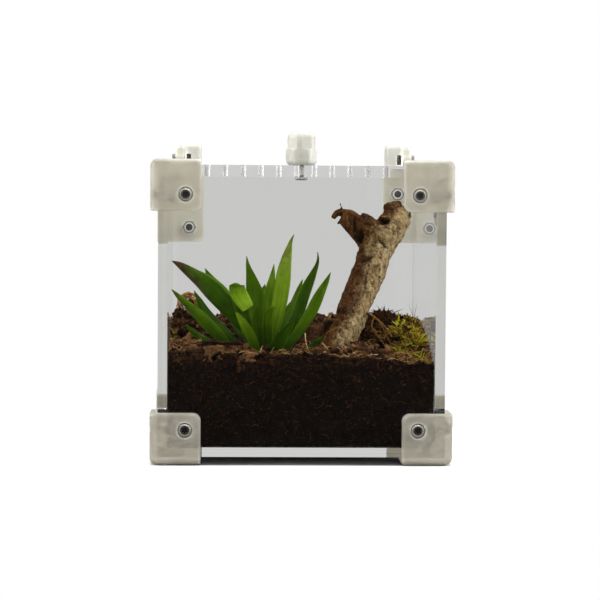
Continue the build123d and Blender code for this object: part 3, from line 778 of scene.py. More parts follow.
# Single pale roots, as points from end to end with their radius
ROOTS = [
    ([(-66.8, -60, 57.5), (-63.6, -60, 60), (-59.4, -60, 60.8), (-55.2, -60, 60.3), (-51.5, -60, 57.6)],
     0.26),
    ([(-22.6, -69, 48.4), (-21.6, -69, 53.2), (-21.4, -68.4, 57.3), (-21.1, -67, 59.8), (-20.1, -66, 61.9)],
     0.26),
    ([(-16.8, -64, 56.3), (-15.5, -64, 58.7), (-14.2, -64, 60.8)], 0.2),
    ([(2.3, -56, 67.7), (2.6, -57, 64), (3.3, -58, 60.9), (4.3, -60, 57.4)], 0.3),
    ([(8.8, -66, 56.3), (12, -66, 58.6), (15.1, -66, 57.6), (18.8, -66, 57)], 0.26),
    ([(-34.1, -60, 57.8), (-33.9, -60, 62), (-34.7, -60, 63)], 0.16),
    ([(11.1, -62, 63), (13.2, -62, 60.8), (15.3, -62, 58)], 0.22),
    ([(41.7, -62, 57), (37.4, -63, 56.9), (34.3, -63, 56.6)], 0.22),
]

FINE_SIDES = 4
ROOT_SIDES = 6
BED_FIBRES = 900
FRONT_FIBRES = 560
FIBRE_STEPS = 9
WALL_FIBRES = 420
WALL_FIBRE_STEPS = 7
WALL_FIBRE_STRIDE = 1.1


def make_fibres(material):
    """Coir and fine roots over the bed, thicker towards the front, and faint ones along the front wall."""
    draw = random.Random(SEED)
    heap = Heap("tone")
    for number in range(BED_FIBRES):
        x = draw.uniform(soil_low.x + 2, soil_high.x - 2)
        y = soil_low.y + (draw.uniform(0.8, 20.0) if number < FRONT_FIBRES else draw.uniform(10.0, 136.0))
        straw = draw.random() < 0.18
        path = strand_path(draw, (x, y), draw.uniform(5, 15), FIBRE_STEPS, 0.55, draw.uniform(0.0, 2.0))
        thick = draw.uniform(0.10, 0.18) if straw else draw.uniform(0.07, 0.17)
        heap.add(*tube(path, tapered(thick, FIBRE_STEPS, 0.6), FINE_SIDES),
                 tone=draw.uniform(0.7, 1.0) if straw else draw.betavariate(2.2, 3.2))
    for number in range(WALL_FIBRES):
        x = draw.uniform(soil_low.x + 3, soil_high.x - 3)
        z = 57 - 43 * draw.random() ** 1.5
        heading = draw.uniform(0, FULL_TURN)
        path = []
        for step in range(WALL_FIBRE_STEPS):
            heading += draw.uniform(-0.6, 0.6)
            path.append(Vector((x, soil_low.y + 0.18 + 0.05 * math.sin(step), z)))
            x = held(x + math.cos(heading) * WALL_FIBRE_STRIDE, soil_low.x + 1, soil_high.x - 1)
            z = held(z + math.sin(heading) * WALL_FIBRE_STRIDE, 12, 56)
        heap.add(*tube(path, [draw.uniform(0.04, 0.09)] * WALL_FIBRE_STEPS, FINE_SIDES),
                 tone=0.40 * draw.random() ** 2)
    for line, thick in ROOTS:
        path = thread(line, thick)
        heap.add(*tube(path, tapered(thick, len(path), 0.5), ROOT_SIDES), tone=0.9)
    return heap.piece("root_fibres", material, "root")


# The branch

# Each limb's places with their radii, the trunk first
BRANCH_LIMBS = [
    [((14, -45.5, 46), 9.4), ((18.5, -42, 51), 8.4), ((24, -34, 65), 8.2), ((29, -26, 76), 8.3),
     ((35, -16, 90), 8.9), ((40, -8, 102), 9.1), ((44.5, 0, 112.5), 9.6), ((51.5, 7, 122), 9.2),
     ((57.5, 12, 129), 6.9), ((59.5, 14, 131.5), 4.6)],
    [((43, 0, 111), 7.4), ((34.5, 2, 121), 6.3), ((28.5, 4, 126.8), 5.6), ((25.8, 5, 128.6), 4.4)],
    [((43, 0, 111), 7.5), ((39, 2, 122.5), 6.2), ((33.5, 3, 126), 5.2)],
    [((27.4, 5.6, 129.8), 2.8), ((24, 5.5, 130.6), 2.1), ((21.6, 5.5, 130.3), 1.8),
     ((20.2, 5.5, 128.8), 1.5), ((19.6, 5.5, 127.2), 0.9)],
    [((25.6, 4.5, 127.4), 1.9), ((23.4, 4.6, 125.4), 0.9), ((22, 4.6, 124.4), 0.5)],
    [((24.8, 5, 131.4), 0.9), ((24.2, 5, 134), 0.4), ((23.5, 5, 136), 0.32)],
    [((51, 8, 132), 4.6), ((54.2, 10, 134.4), 3.4), ((57.2, 11.6, 134.6), 2.7)],
    [((62.4, 13, 131.5), 1.2), ((63.4, 13, 128.6), 0.9), ((62.2, 12.6, 126.4), 1.2)],
    [((13.4, -46, 49), 7.4), ((17.2, -43, 58), 7.2), ((21.4, -38, 67), 6.6)],
]
LIMB_SIDES = 28
LIMB_STEPS = 8
SPINE_STEPS = 4
BARK_VOXEL = 0.55
MARK_REACH = 4.0

# Marks on the branch's front, by what they tint: place across and up, half sizes, clockwise turn in
# degrees, how strongly they tint and how deep they go in
BRANCH_MARKS = {
    # Dark marks: the hole and cracks, partly dark bark and partly painted shade.
    "dark": [
        ((47.7, 126.1), (3.6, 1.5), 4, 1.0, 3), ((30.9, 123.8), (0.9, 3.9), 4, 0.95, 1.2),
        ((33.8, 117.3), (2.7, 3.6), 0, 0.85, 1.8), ((32.5, 114.1), (1.7, 2.2), 0, 0.8, 0.8),
        ((46.6, 113.9), (3.3, 0.6), 46, 0.9, 0.9), ((33.8, 109.8), (1.4, 1.4), 0, 0.55, 0.8),
        ((36.6, 105.2), (3.6, 2.1), -10, 0.7, 0.5), ((36.6, 94.4), (0.9, 3.8), 8, 0.8, 0.6),
        ((46.9, 101.8), (1.1, 1.5), 0, 0.6, -0.9), ((36, 128.6), (1.6, 0.9), 20, 0.8, 0.9),
        ((42.2, 129), (2, 0.8), -20, 0.7, 0.9), ((39, 124.2), (2.6, 0.8), 10, 0.6, 0.6),
        ((63.4, 129.5), (0.9, 2.2), 15, 0.85, 0.0), ((28.5, 110.5), (1.8, 6), 30, 0.45, 0.5),
    ],
    "red": [
        ((38.6, 127.2), (6.1, 3.6), 0, 0.85, -0.4), ((53.5, 134), (4.6, 2.6), -30, 0.75, 0.3),
        ((31, 87), (4.6, 6), 20, 0.8, 0.0), ((33.6, 99), (3.4, 4.4), 20, 0.7, 0.0),
        ((24.6, 76), (3.2, 5), 20, 0.4, 0.0), ((23, 58), (4, 2.4), 0, 0.6, 0.8),
        ((21, 130.5), (2.2, 2.6), 0, 0.5, 0.0),
    ],
    "cream": [
        ((59.3, 129.2), (3.6, 3.1), 20, 0.85, 0.6), ((46.1, 120.7), (3.3, 2.2), 0, 0.55, 0.0),
        ((53.5, 124.5), (2.2, 3.4), 20, 0.3, 0.0), ((37.9, 109.3), (1.6, 1.6), 0, 0.45, 0.0),
    ],
    # Pale marks: patches of pale bark and of painted light on the lit parts; negative amounts darken.
    "pale": [
        ((43.1, 104), (3.9, 14.2), 24, 0.4, 0.0), ((34.2, 79.2), (4.2, 18.3), 20, 0.45, 0.0),
        ((24.4, 63.1), (4.6, 6.2), 10, 0.3, 0.0), ((26.3, 91.7), (3.8, 19), 22, -0.4, 0.0),
        ((37.5, 85.4), (2.1, 4.4), 15, 0.35, 0.0), ((37, 114.1), (4.9, 3.4), 0, 0.3, 0.0),
        ((27, 129.8), (5, 4.5), 0, -0.1, 0.0), ((16.3, 65.1), (3.3, 5.3), 10, -0.1, 0.0),
    ],
}


def voxel_mesh(name, points, faces, voxel):
    """One closed skin round overlapping shapes, as points and faces in millimetres."""
    thing = link(name, raw_mesh(name, points, faces))
    change = thing.modifiers.new("skin", "REMESH")
    change.mode = "VOXEL"
    change.voxel_size = voxel * MM
    graph = bpy.context.evaluated_depsgraph_get()
    skinned = bpy.data.meshes.new_from_object(thing.evaluated_get(graph))
    bpy.data.objects.remove(thing)
    return [v.co / MM for v in skinned.vertices], [list(f.vertices) for f in skinned.polygons]


def mark_reach(p, place, size, turn):
    """How far a point lies from a mark's middle, as the square of its share of the mark's half sizes."""
    angle = math.radians(turn)
    dx, dz = p.x - place[0], p.z - place[1]
    u = (dx * math.cos(angle) - dz * math.sin(angle)) / size[0]
    v = (dx * math.sin(angle) + dz * math.cos(angle)) / size[1]
    return u * u + v * v


def make_branch(material):
    """The leaning branch: flaky bark, a broken stub with a curl of bark, a hole and a forked top."""
    heap = Heap()
    for line in BRANCH_LIMBS:
        heap.add(*tube(*smooth_path(line, LIMB_STEPS), LIMB_SIDES))
    points, faces = voxel_mesh("branch_skin", heap.points, heap.faces, BARK_VOXEL)
    spine, _ = smooth_path(BRANCH_LIMBS[0], SPINE_STEPS)
    shaped = []
    values = {"pale": [], "dark": [], "red": [], "cream": []}
    for p in points:
        centre = min(spine, key=lambda q: (q - p).length_squared)
        out = p - centre
        out.z *= 0.4
        out.normalize()
        near, _ = noise.voronoi(Vector((p.x * 0.20, p.y * 0.20, p.z * 0.09)) + Vector((3, 1, 0)))
        crack = max(0.0, 1.0 - (near[1] - near[0]) / 0.10)
        ridge = noise.noise(Vector((p.x * 0.22, p.y * 0.22, p.z * 0.07)))
        knot = noise.noise(p * 0.13 + Vector((5, 0, 0)))
        fine = noise.noise(p * 0.55) + 0.6 * noise.noise(p * 1.1)
        flake = abs(noise.noise(Vector((p.x * 0.30, p.y * 0.30, p.z * 0.16)) + Vector((9, 2, 4))))
        depth = 0.45 * crack - 0.9 * ridge - 1.0 * knot - 0.40 * fine + 0.8 * flake
        # The side facing +X is made paler, partly pale bark and partly painted light.
        tint = {"pale": 0.5 + 0.5 * out.x, "dark": 0.28 * crack, "red": 0.0, "cream": 0.0}
        front = held((centre.y - p.y) / 3.0 + 0.5, 0.0, 1.0)
        here = BRANCH_MARKS if front else {}
        for kind, marks in here.items():
            for place, size, turn, amount, dent in marks:
                reach = mark_reach(p, place, size, turn)
                if reach < MARK_REACH:
                    share = front * math.exp(-(reach + 0.35 * fine) ** 2 * 0.7)
                    tint[kind] += amount * share
                    depth += dent * share
        thin = (p - centre).length < 14
        shaped.append(p - out * depth * (1.0 if thin else 0.4))
        for kind, kept in values.items():
            kept.append(held(tint[kind], 0.0, 1.0))
    return piece("branch_wood", shaped, faces, material, ["branch"], values=values)


# The plant

# Each leaf's stations from root to tip as (x, y, z, width), then its fold towards the viewer, its roll
# in degrees, the share that is browned and how brightly it is painted as lit
LEAVES = [
    ([(-22.7, -40, 57, 4.8), (-26.5, -40, 66.4, 6.9), (-34.1, -38, 77.5, 8.6), (-41.6, -34, 88, 7),
     (-47.6, -31, 95.4, 3.8), (-50.8, -29, 100.7, 0.3)], -0.3, 20, 0.1, 0.25),
    ([(-30.8, -42, 57, 4.8), (-38.3, -42, 64.4, 6.9), (-44.8, -39, 70.6, 7.5), (-50.2, -35, 77.3, 5.9),
     (-53.7, -32, 83.6, 3.2), (-56.7, -30, 88.6, 0.3)], -0.4, 25, 0.0, 0.05),
    ([(-22.4, -50, 57, 4.6), (-28.4, -50, 69, 7.2), (-36.8, -48, 78.7, 9.6), (-45.1, -46, 87.8, 10.8),
     (-50.5, -43, 92.7, 9.9), (-56.1, -40, 96.8, 7.2), (-63.7, -36, 102, 4), (-68.6, -34, 104.7, 0.3)],
     -0.35, -14, 1.0, 0.18),
    ([(-36.8, -52, 57, 3.2), (-41.5, -52, 64, 5), (-46.9, -51, 69.2, 6.6), (-53.3, -49, 75.4, 6.4),
     (-59.7, -47, 81.4, 4.5), (-65, -46, 86.4, 2.7), (-68.5, -46, 90.1, 0.3)], -0.5, -18, 0.15, 0.3),
    ([(-39.9, -46, 58, 2.7), (-46.8, -46, 61.4, 3.5), (-53.8, -46, 65.1, 3.2), (-57.5, -46, 68, 2.7),
     (-60.7, -46, 71.5, 0.3)], -0.4, 10, 0.0, 0.1),
    ([(-40.4, -54, 58, 1.6), (-45.7, -54, 60.9, 2.4), (-50.5, -54, 63, 1.8), (-53.7, -53, 65.1, 0.3)],
     -0.3, 0, 0.6, 0.0),
    ([(-22.2, -38, 57, 4.8), (-22.2, -38, 67.9, 8), (-22.7, -34, 77.4, 10.2), (-23.8, -30, 85.8, 10),
     (-24.9, -28, 91.1, 7.8), (-26.2, -26, 96.4, 5.1), (-27.6, -25, 101.8, 2.4), (-28.4, -24, 107.1, 0.3)],
     0.35, 8, 0.0, 0.3),
    ([(-19.9, -34, 57, 4.8), (-17.8, -30, 72.8, 7), (-16.4, -24, 83.3, 6.8), (-15.2, -21, 89.7, 5.2),
     (-14.1, -18, 96.7, 2.7), (-13.3, -16, 102.6, 0.3)], 0.4, -12, 0.1, 0.55),
    ([(-18.5, -42, 57, 5.3), (-15.3, -42, 66.1, 6.7), (-12.7, -40, 74.5, 7.5), (-11.3, -38, 80.9, 8),
     (-10, -36, 88.3, 8.3), (-8.9, -34, 95.8, 8.1), (-8.1, -33, 101.1, 7), (-7, -32, 106.5, 5.4),
     (-5.8, -31, 111.3, 3.5), (-4.6, -30, 115.6, 1.8), (-3, -30, 119.2, 0.3)], 0.35, 6, 0.55, 1.0),
    ([(-14.1, -38, 57, 4.8), (-8.2, -36, 67.9, 7), (-4.4, -32, 76.3, 6.7), (-1.6, -29, 83.7, 5.1),
     (0.3, -27, 90.1, 2.7), (1.9, -26, 94.9, 0.3)], 0.4, 14, 0.05, 0.35),
    ([(-11.1, -46, 57, 4.8), (-3.7, -46, 70.7, 6.6), (0, -44, 79.1, 6.7), (2.4, -43, 86.6, 6.4),
     (4.6, -42, 92.4, 5.6), (7, -41, 97.8, 4), (9.1, -40, 103.1, 2.1), (9.7, -40, 106.8, 1.2),
     (9.3, -40, 110.2, 0.3)], -0.5, 22, 0.25, 0.15),
    ([(-8.7, -56, 57, 3.7), (-5.6, -56, 62.1, 4.5), (-1.9, -55, 66.5, 5.3), (1.8, -54, 71.8, 5.8),
     (5.5, -53, 77.6, 6.3), (8.7, -52, 83.9, 6.1), (11.4, -51, 89.7, 4.8), (14, -50, 95, 2.7),
     (15.9, -50, 99.7, 0.3)], -0.5, 24, 0.1, 0.35),
    ([(-24.5, -51, 58, 5.8), (-28, -51, 70, 7.2), (-31.4, -51, 81, 7.6), (-33.6, -52, 88.5, 7.6),
     (-34, -53.2, 91.4, 7.4), (-33.9, -54.2, 92.4, 6.6)], 0.15, 0, 0.0, 0.35),
    ([(-33.8, -53.6, 92.8, 8), (-33.6, -55.4, 90.4, 8.6), (-31.6, -57.8, 86.4, 8.6),
     (-29.2, -59.4, 82.8, 7.6), (-27.9, -60, 80.8, 6.6)], 0.1, 0, 0.0, 0.85),
    ([(-19.8, -56, 57, 5.3), (-21, -58, 65.6, 6.8), (-22.1, -59, 71.5, 7.6), (-22.1, -60, 77.3, 6.6),
     (-21.4, -60, 82.1, 3.7), (-20.1, -60, 85.2, 0.3)], 0.45, -8, 0.0, 0.25),
    ([(-17.2, -56, 58, 4.7), (-17.9, -59, 69.4, 5.8), (-17.6, -60, 75.8, 5.2), (-16.4, -61, 79.6, 3.8),
     (-14.6, -62.5, 81.2, 2), (-13.2, -63, 80.4, 0.4)], 0.3, 10, 0.0, 0.5),
    ([(-23.1, -60, 57, 4.2), (-25.8, -62, 65.3, 5.2), (-29.5, -63, 72.2, 4.5), (-32.7, -63, 76.9, 2.6),
     (-34.5, -63, 79, 0.3)], 0.4, -10, 0.0, 0.7),
    ([(3.9, -58, 58, 1.6), (6.5, -58, 61.7, 2.5), (9.1, -58, 64.1, 2), (11.8, -57, 66.2, 0.3)],
     -0.2, 0, 0.0, -0.1),
    ([(-26, -34, 57, 5), (-32, -26, 70, 7.5), (-38, -16, 80, 6), (-42, -8, 87, 0.3)], 0.4, 10, 0.1, 0.1),
    ([(-13, -34, 57, 5), (-8, -26, 70, 7.5), (-3, -17, 79, 6), (0, -9, 85, 0.3)], 0.4, -10, 0.1, 0.1),
    ([(-20, -33, 57, 5), (-20, -24, 72, 7.5), (-19, -12, 84, 6), (-18, -4, 91, 0.3)], 0.4, 0, 0.1, 0.15),
    ([(-16, -60, 57, 5), (-12, -64, 64, 6), (-7, -66, 71, 4.5), (-3.5, -66.5, 76, 0.3)], 0.3, 0, 0.0, 0.1),
]
LEAF_STEPS = 5
LEAF_SIDES = 8
LEAF_THICKNESS = 1.7
LEAF_ROOT = 3.5
LEAF_ROOTED = 60.0


def through(stations, steps):
    """Rows of numbers along a smooth line through the stations."""
    rows = []
    for i in range(len(stations) - 1):
        before, b = neighbours(stations, i)
        after = stations[min(i + 2, len(stations) - 1)]
        for k in range(steps):
            rows.append([between(*four, k / steps) for four in zip(before, stations[i], b, after)])
    return rows + [list(stations[-1])]


def add_leaf(heap, stations, fold, roll, browned, lit):
    """One blade with a channelled face and a keel."""
    rows = through(stations, LEAF_STEPS)
    spine = [Vector(row[:3]) for row in rows]
    spine[0].z -= LEAF_ROOT if spine[0].z < LEAF_ROOTED else 0.0
    ring = [-1 + 2 * k / LEAF_SIDES for k in range(LEAF_SIDES + 1)]
    lean = math.radians(roll)
    points, along, across = [], [], []
    for step, row in enumerate(rows):
        t = step / (len(rows) - 1)
        before, after = neighbours(spine, step)
        ahead = (after - before).normalized()
        side = Matrix.Rotation(lean, 3, ahead) @ ahead.cross(Vector((0, 1, 0))).normalized()
        face = side.cross(ahead).normalized()
        if face.y > 0:
            face = -face
        half = max(row[3], 0.3) / 2 / max(abs(math.cos(lean)), 0.5)
        thick = LEAF_THICKNESS * min(1.0, half / 2.2)
        front = [(u, fold * half * (u * u - 0.4) + 0.12 * thick * (1 - u * u)) for u in ring]
        back = [(u, fold * half * (u * u - 0.4) - thick * (1 - u * u)) for u in ring[-2:0:-1]]
        for u, rise in front + back:
            wave = 0.12 * half * noise.noise(Vector((u * 0.8, t * 5.0, spine[0].x + spine[-1].x)))
            points.append(spine[step] + side * (u * half) + face * (rise + wave))
            along.append(t)
            across.append(u)
    faces = ring_faces(len(rows), 2 * LEAF_SIDES)
    heap.add(points, faces, along=along, across=across, browned=browned, lit=lit)


def make_plant(material):
    """The rosette: pointed leaves from a short crown, one of them broken off and folded."""
    heap = Heap("along", "across", "browned", "lit")
    for leaf_shape in LEAVES:
        add_leaf(heap, *leaf_shape)
    return heap.piece("rosette_leaves", material, "leaf", ["rosette_plant"])


# Moss and the curled root

# Mounds of strands: middle (its height over the bed), half sizes, strands, brightness
MOSS_RIGHT = [
    ((57, -37, 4.5), (6.5, 6, 4), 420, 0.66), ((61.5, -42, 2.5), (4.5, 6, 3.6), 240, 0.74),
    ((50.5, -35, 2), (5, 5, 3.6), 220, 0.44), ((54.8, -48, -0.5), (5, 6, 3.4), 200, 0.6),
    ((55, -28, 4), (2.6, 4, 4.5), 110, 0.72), ((63.5, -60, -1), (6, 5, 2.6), 170, 0.66),
    ((44, -30, 1), (5, 6, 3), 120, 0.36), ((47, 0, 3), (9, 10, 4), 110, 0.12),
    ((62, -10, 1), (6, 12, 4), 140, 0.45), ((40.5, -50, -1), (8, 6, 2), 110, 0.14),
    ((50, 34, 1), (12, 12, 3), 110, 0.35),
]
MOSS_LEFT = [
    ((-60, 4, 1), (8, 10, 3), 110, 0.15), ((-64.5, -30, 0), (4, 14, 2), 90, 0.45),
    ((-64, 30, 1), (5, 12, 3), 70, 0.35),
]

# Lumps of root ball and bark under the moss: place over the bed, half sizes
CLODS_RIGHT = [
    ((40.5, 2, 0.6), (4.6, 5, 4.2)), ((46, 0, 1.6), (4.4, 5, 4.4)), ((51.6, -1, 0.8), (4.2, 5, 4)),
    ((49.5, -9, 0), (5, 5, 4)), ((42, -14, 0), (5, 5, 3.5)), ((57, 3, -0.8), (4, 6, 3.2)),
    ((55, -20, 1), (4, 5, 3.4)), ((57.5, -34, 2), (6, 6, 5)), ((51, -36, 0), (5, 4, 3.6)),
    ((44, -26, 1.0), (4, 4, 4)), ((36.5, -20, 0.5), (4, 4, 4)), ((63, -14, 0), (4, 6, 3)),
    ((46, -42, -0.5), (4, 4, 2.6)), ((38, -30, 0.5), (4, 4, 4.5)),
]
CLODS_LEFT = [
    ((-64.6, -2, 3.6), (3.6, 5, 4)), ((-59.5, 2, 1.0), (3.8, 5, 3)), ((-63.8, -12, 0.5), (4.2, 5, 3.8)),
    ((-58, -16, 0.2), (3.6, 4, 3)), ((-65.2, -22, 0), (3.2, 5, 3)), ((-62.5, 12, 1.0), (5, 5, 3.2)),
    ((-54, -8, 0.0), (3.4, 4, 2.6)), ((-48, 4, 0.0), (4, 4, 2.6)), ((-56, 26, 0.0), (5, 5, 3.2)),
]

# Twigs and sprigs in the moss: points, radius and tone
TWIGS = [
    ([(35.7, -22, 76.9), (38.9, -32, 75.9), (42.1, -40, 73.7), (45.5, -46, 70.4), (48.9, -50, 65.3)],
     0.75, 0.34),
    ([(42.1, -40, 73.7), (43.3, -46, 71.4), (45.7, -50, 66.4), (47.6, -54, 61.9), (48.4, -58, 57.4)],
     0.48, 0.26),
    ([(40.2, -36, 75), (38.2, -46, 70.9), (40.4, -50, 66.9), (43.8, -55, 62.5), (46.6, -60, 57)],
     0.28, 0.36),
    ([(40.1, -50.5, 68), (41.9, -50.5, 68.5), (43.5, -51, 67.8)], 0.2, 0.46),
    ([(46.1, 0, 71.6), (47.9, 2, 74.2), (49.4, 0, 75.7), (51.5, -2, 76.7), (53.4, -3, 76.3)], 0.42, 0.4),
    ([(62.4, -27, 61), (62.3, -25, 68.5), (61.6, -24, 71.7), (60.3, -23, 73.8), (59.2, -22, 76.5)],
     0.42, 0.22),
    ([(62.6, -25, 68), (64.1, -23, 71.7), (65, -22, 74.9)], 0.38, 0.22),
    ([(56, -22, 71.3), (58.2, -22, 71.5), (61.2, -23.6, 71.2)], 0.4, 0.5),
    ([(62.3, -24, 74.5), (61.3, -23, 77.7), (60, -22, 81.2)], 0.12, 0.12),
    ([(62.6, -24, 74), (63.8, -23, 78.8), (64.5, -22, 81.5)], 0.12, 0.12),
    ([(54.8, -24, 64), (54.4, -25, 71.8), (54.1, -26, 77.3)], 0.7, 0.8),
    ([(56.3, -26, 63.2), (57.3, -27, 67), (57.7, -28, 69.8)], 0.5, 0.85),
    ([(65.2, -60, 54), (66.5, -60, 57.1), (68.3, -60, 58.4)], 0.42, 0.4),
    ([(62, -60, 53.9), (63.6, -60, 56.6), (64.1, -60, 59.2), (64.9, -60, 60.5)], 0.34, 0.7),
    ([(60.1, -58, 56.9), (62.5, -60, 56), (65.5, -62, 53.6), (68.1, -63, 51.5)], 0.4, 0.72),
]
TWIG_SIDES = 7
CLOD_STEPS = 14
STRAND_TAPER = (1.0, 0.9, 0.8, 0.55, 0.15)


def add_clods(heap, clods, draw):
    """Dark uneven lumps of root ball."""
    unit, faces = cube_shape(CLOD_STEPS)
    for (x, y, rise), size in clods:
        shaped = shard(unit, size, random_turn(draw, 0.4), draw, 0.35, 0.6)
        middle = Vector((x, y, soil_surface(x, y) + rise))
        points = []
        for p in shaped:
            rough = 0.35 * noise.noise(p * 0.45 + middle) + 0.45 * noise.noise(p * 1.1 + middle)
            spot = p * (1 + rough) + middle
            spot.x = held(spot.x, soil_low.x + 0.4, soil_high.x - 0.4)
            points.append(spot)
        tone = [max(0.0, 0.03 + 0.40 * noise.noise(p * 0.9)) for p in points]
        heap.add(points, faces, tone=tone, along=0.6)


def add_strands(heap, lumps, draw):
    """Strands that stand out of mounds."""
    for middle, radii, count, bright in lumps:
        for number in range(count):
            angle = draw.uniform(0, FULL_TURN)
            reach = math.sqrt(draw.random())
            x, y = on_bed(middle[0] + radii[0] * reach * math.cos(angle),
                          middle[1] + radii[1] * reach * math.sin(angle), 1.5)
            top = soil_surface(x, y) + middle[2] + radii[2] * (1 - reach ** 2) * draw.uniform(0.2, 1.0)
            lean = Vector((math.cos(angle) * reach * 0.9 + draw.uniform(-0.8, 0.8),
                           math.sin(angle) * reach * 0.9 + draw.uniform(-0.8, 0.8), draw.uniform(0.0, 1.0)))
            lean.normalize()
            length = draw.uniform(1.5, 5.5)
            curl = Vector((draw.uniform(-1, 1), draw.uniform(-1, 1), draw.uniform(-0.8, 0.4))) * length * 0.6
            start = Vector((x, y, top - 1.2))
            path = [start + lean * length * t + curl * t * t for t in (0, 0.25, 0.5, 0.75, 1.0)]
            for spot in path:
                spot.x, spot.y = on_bed(spot.x, spot.y, 0.5)
            thick = draw.uniform(0.14, 0.48)
            points, faces = tube(path, [thick * share for share in STRAND_TAPER], FINE_SIDES)
            tone = held(bright + draw.uniform(-0.45, 0.22), 0, 1)
            heap.add(points, faces, tone=tone, along=[i // FINE_SIDES / 4 for i in range(len(points))])


def make_moss(name, lumps, clods, twigs, replaced, material, seed):
    """One side's moss over its lumps of root ball."""
    draw = random.Random(seed)
    heap = Heap("tone", "along")
    add_clods(heap, clods, draw)
    add_strands(heap, lumps, draw)
    for line, thick, tone in twigs:
        path = thread(line, thick)
        radii = [radius * draw.uniform(0.85, 1.15) for radius in tapered(thick, len(path), 0.55)]
        heap.add(*tube(path, radii, TWIG_SIDES), tone=tone, along=1.0)
    return heap.piece(name, material, "moss", [replaced])


ring_low, ring_high = inner_box("root_ring")
RING_STRANDS = 26
RING_STEPS = 18
RING_CLODS = ((0.8, 1.2, 2.6), (2.6, -0.6, 2.0), (-1.2, 0.2, 1.7), (1.0, -2.2, 1.6))
RING_STEM = ((-3.6, -5.2), (-1.6, -8.4), (0.6, -11.0), (1.2, -14.5))
STEM_RADIUS = 0.6
RING_CLOD_STEPS = 6


def make_root_ring(material):
    """The curled root at the left: fibrous turns that wander round the same loop, and a clod inside it."""
    draw = random.Random(SEED + 5)
    centre = (ring_low + ring_high) / 2
    reach = (ring_high.x - ring_low.x) / 2 - 1.3
    heap = Heap("tone")
    for number in range(RING_STRANDS):
        start = draw.uniform(0, FULL_TURN)
        sweep = draw.uniform(1.6, 5.0)
        own = reach * draw.uniform(0.55, 1.02)
        tip = draw.uniform(-0.5, 0.5)
        path = []
        for step in range(RING_STEPS):
            angle = start + sweep * step / (RING_STEPS - 1)
            wobble = own + 1.3 * noise.noise(Vector((number * 3.0, angle * 1.6, 0)))
            sway = 1.6 * noise.noise(Vector((angle * 1.2, number * 2.0, 5))) + tip * math.cos(angle) * 2
            path.append(centre + Vector((math.cos(angle) * wobble, sway, math.sin(angle) * wobble)))
        thick = draw.uniform(0.28, 0.70)
        middle = (RING_STEPS - 1) / 2
        radii = [thick * (1 - 0.6 * abs(i / middle - 1)) for i in range(RING_STEPS)]
        heap.add(*tube(path, radii, ROOT_SIDES), tone=draw.uniform(0.42, 0.74))
    unit, faces = cube_shape(RING_CLOD_STEPS)
    for x, z, size in RING_CLODS:
        shaped = shard(unit, (size, size * 0.7, size * 0.8), random_turn(draw, 0.6), draw, 0.4, 0.5)
        heap.add([p + centre + Vector((x, 0.6, z)) for p in shaped], faces, tone=draw.uniform(0.0, 0.25))
    stem = thread([(centre.x + x, centre.y, centre.z + z) for x, z in RING_STEM], STEM_RADIUS)
    heap.add(*tube(stem, [STEM_RADIUS] * len(stem), ROOT_SIDES), tone=0.62)
    return heap.piece("curled_root", material, "root", ["root_ring"])


# Stage, lamps and background

FLOOR_RADIUS = 0.6
FLOOR_SIDES = 96
FLOOR_HEIGHT = -0.0002
FLOOR_TURNS_DARK = 100 * MM
SHADOW_EDGE = (79 * MM, 112 * MM)
FLOOR_PAINTED_SHADOW = (74 * MM, 80 * MM)
SKY_TURNS_DARK = 0.25
SKY_ON_OBJECT = 0.45
SKY_BEHIND = 0.64
SKY_IN_FRONT = 0.05


def past_glass(s, path, ahead, reach, other):
    """Background strength for rays that met glass or metal, and another for the rest.

    It is pale for rays that only went through, so that the acrylic is clear from every side. For rays that
    were mirrored once or left a lit surface it is pale behind and dark in front.
    """
    met = s.maths("MAXIMUM", path.outputs["Is Glossy Ray"], path.outputs["Is Transmission Ray"])
    sided = s.spread(ahead, -reach, reach, SKY_IN_FRONT, SKY_BEHIND)
    mirrored = s.maths("COMPARE", path.outputs["Glossy Depth"], 1.0, 0.5)
    turned = s.maths("MAXIMUM", mirrored, s.spread(path.outputs["Diffuse Depth"], 0.0, 1.0))
    return met, s.blend(met, other, s.blend(turned, SKY_BEHIND, sided))


def make_floor():
    """A plain pale disc that keeps the object's shadow, with a painted dark shadow under the object, and
    turns to white away from it.
    """
    turns = [FULL_TURN * k / FLOOR_SIDES for k in range(FLOOR_SIDES)]
    points = [(math.cos(a) * FLOOR_RADIUS, math.sin(a) * FLOOR_RADIUS, FLOOR_HEIGHT) for a in turns]
    mesh = bpy.data.meshes.new("floor")
    mesh.from_pydata(points, [], [list(range(FLOOR_SIDES))])
    s = Shader("pale_floor")
    across = s.axes()
    away = s.maths("MAXIMUM", s.unsigned(across["X"]), s.unsigned(across["Y"]))
    plain = s.shades(s.noise(0.02), grey(0.80), grey(0.82))
    # Painted shadow: the base colour goes dark grey under the object's footprint.
    s.surface_inputs(Base_Color=s.mix(s.spread(away, *FLOOR_PAINTED_SHADOW), (0.10, 0.10, 0.105), plain),
                     Roughness=0.9, Specular_IOR_Level=0.0)
    path = s.add("ShaderNodeLightPath")
    white = s.times(s.spread(away, *SHADOW_EDGE), path.outputs["Is Camera Ray"])
    met_glass, level = past_glass(s, path, across["Y"], FLOOR_TURNS_DARK, 1.0)
    glow = s.add("ShaderNodeEmission", {"Color": grey(1.0), "Strength": level})
    s.joins(s.maths("MAXIMUM", white, met_glass), glow)
    mesh.materials.append(s.material)
    floor = link("floor", mesh)


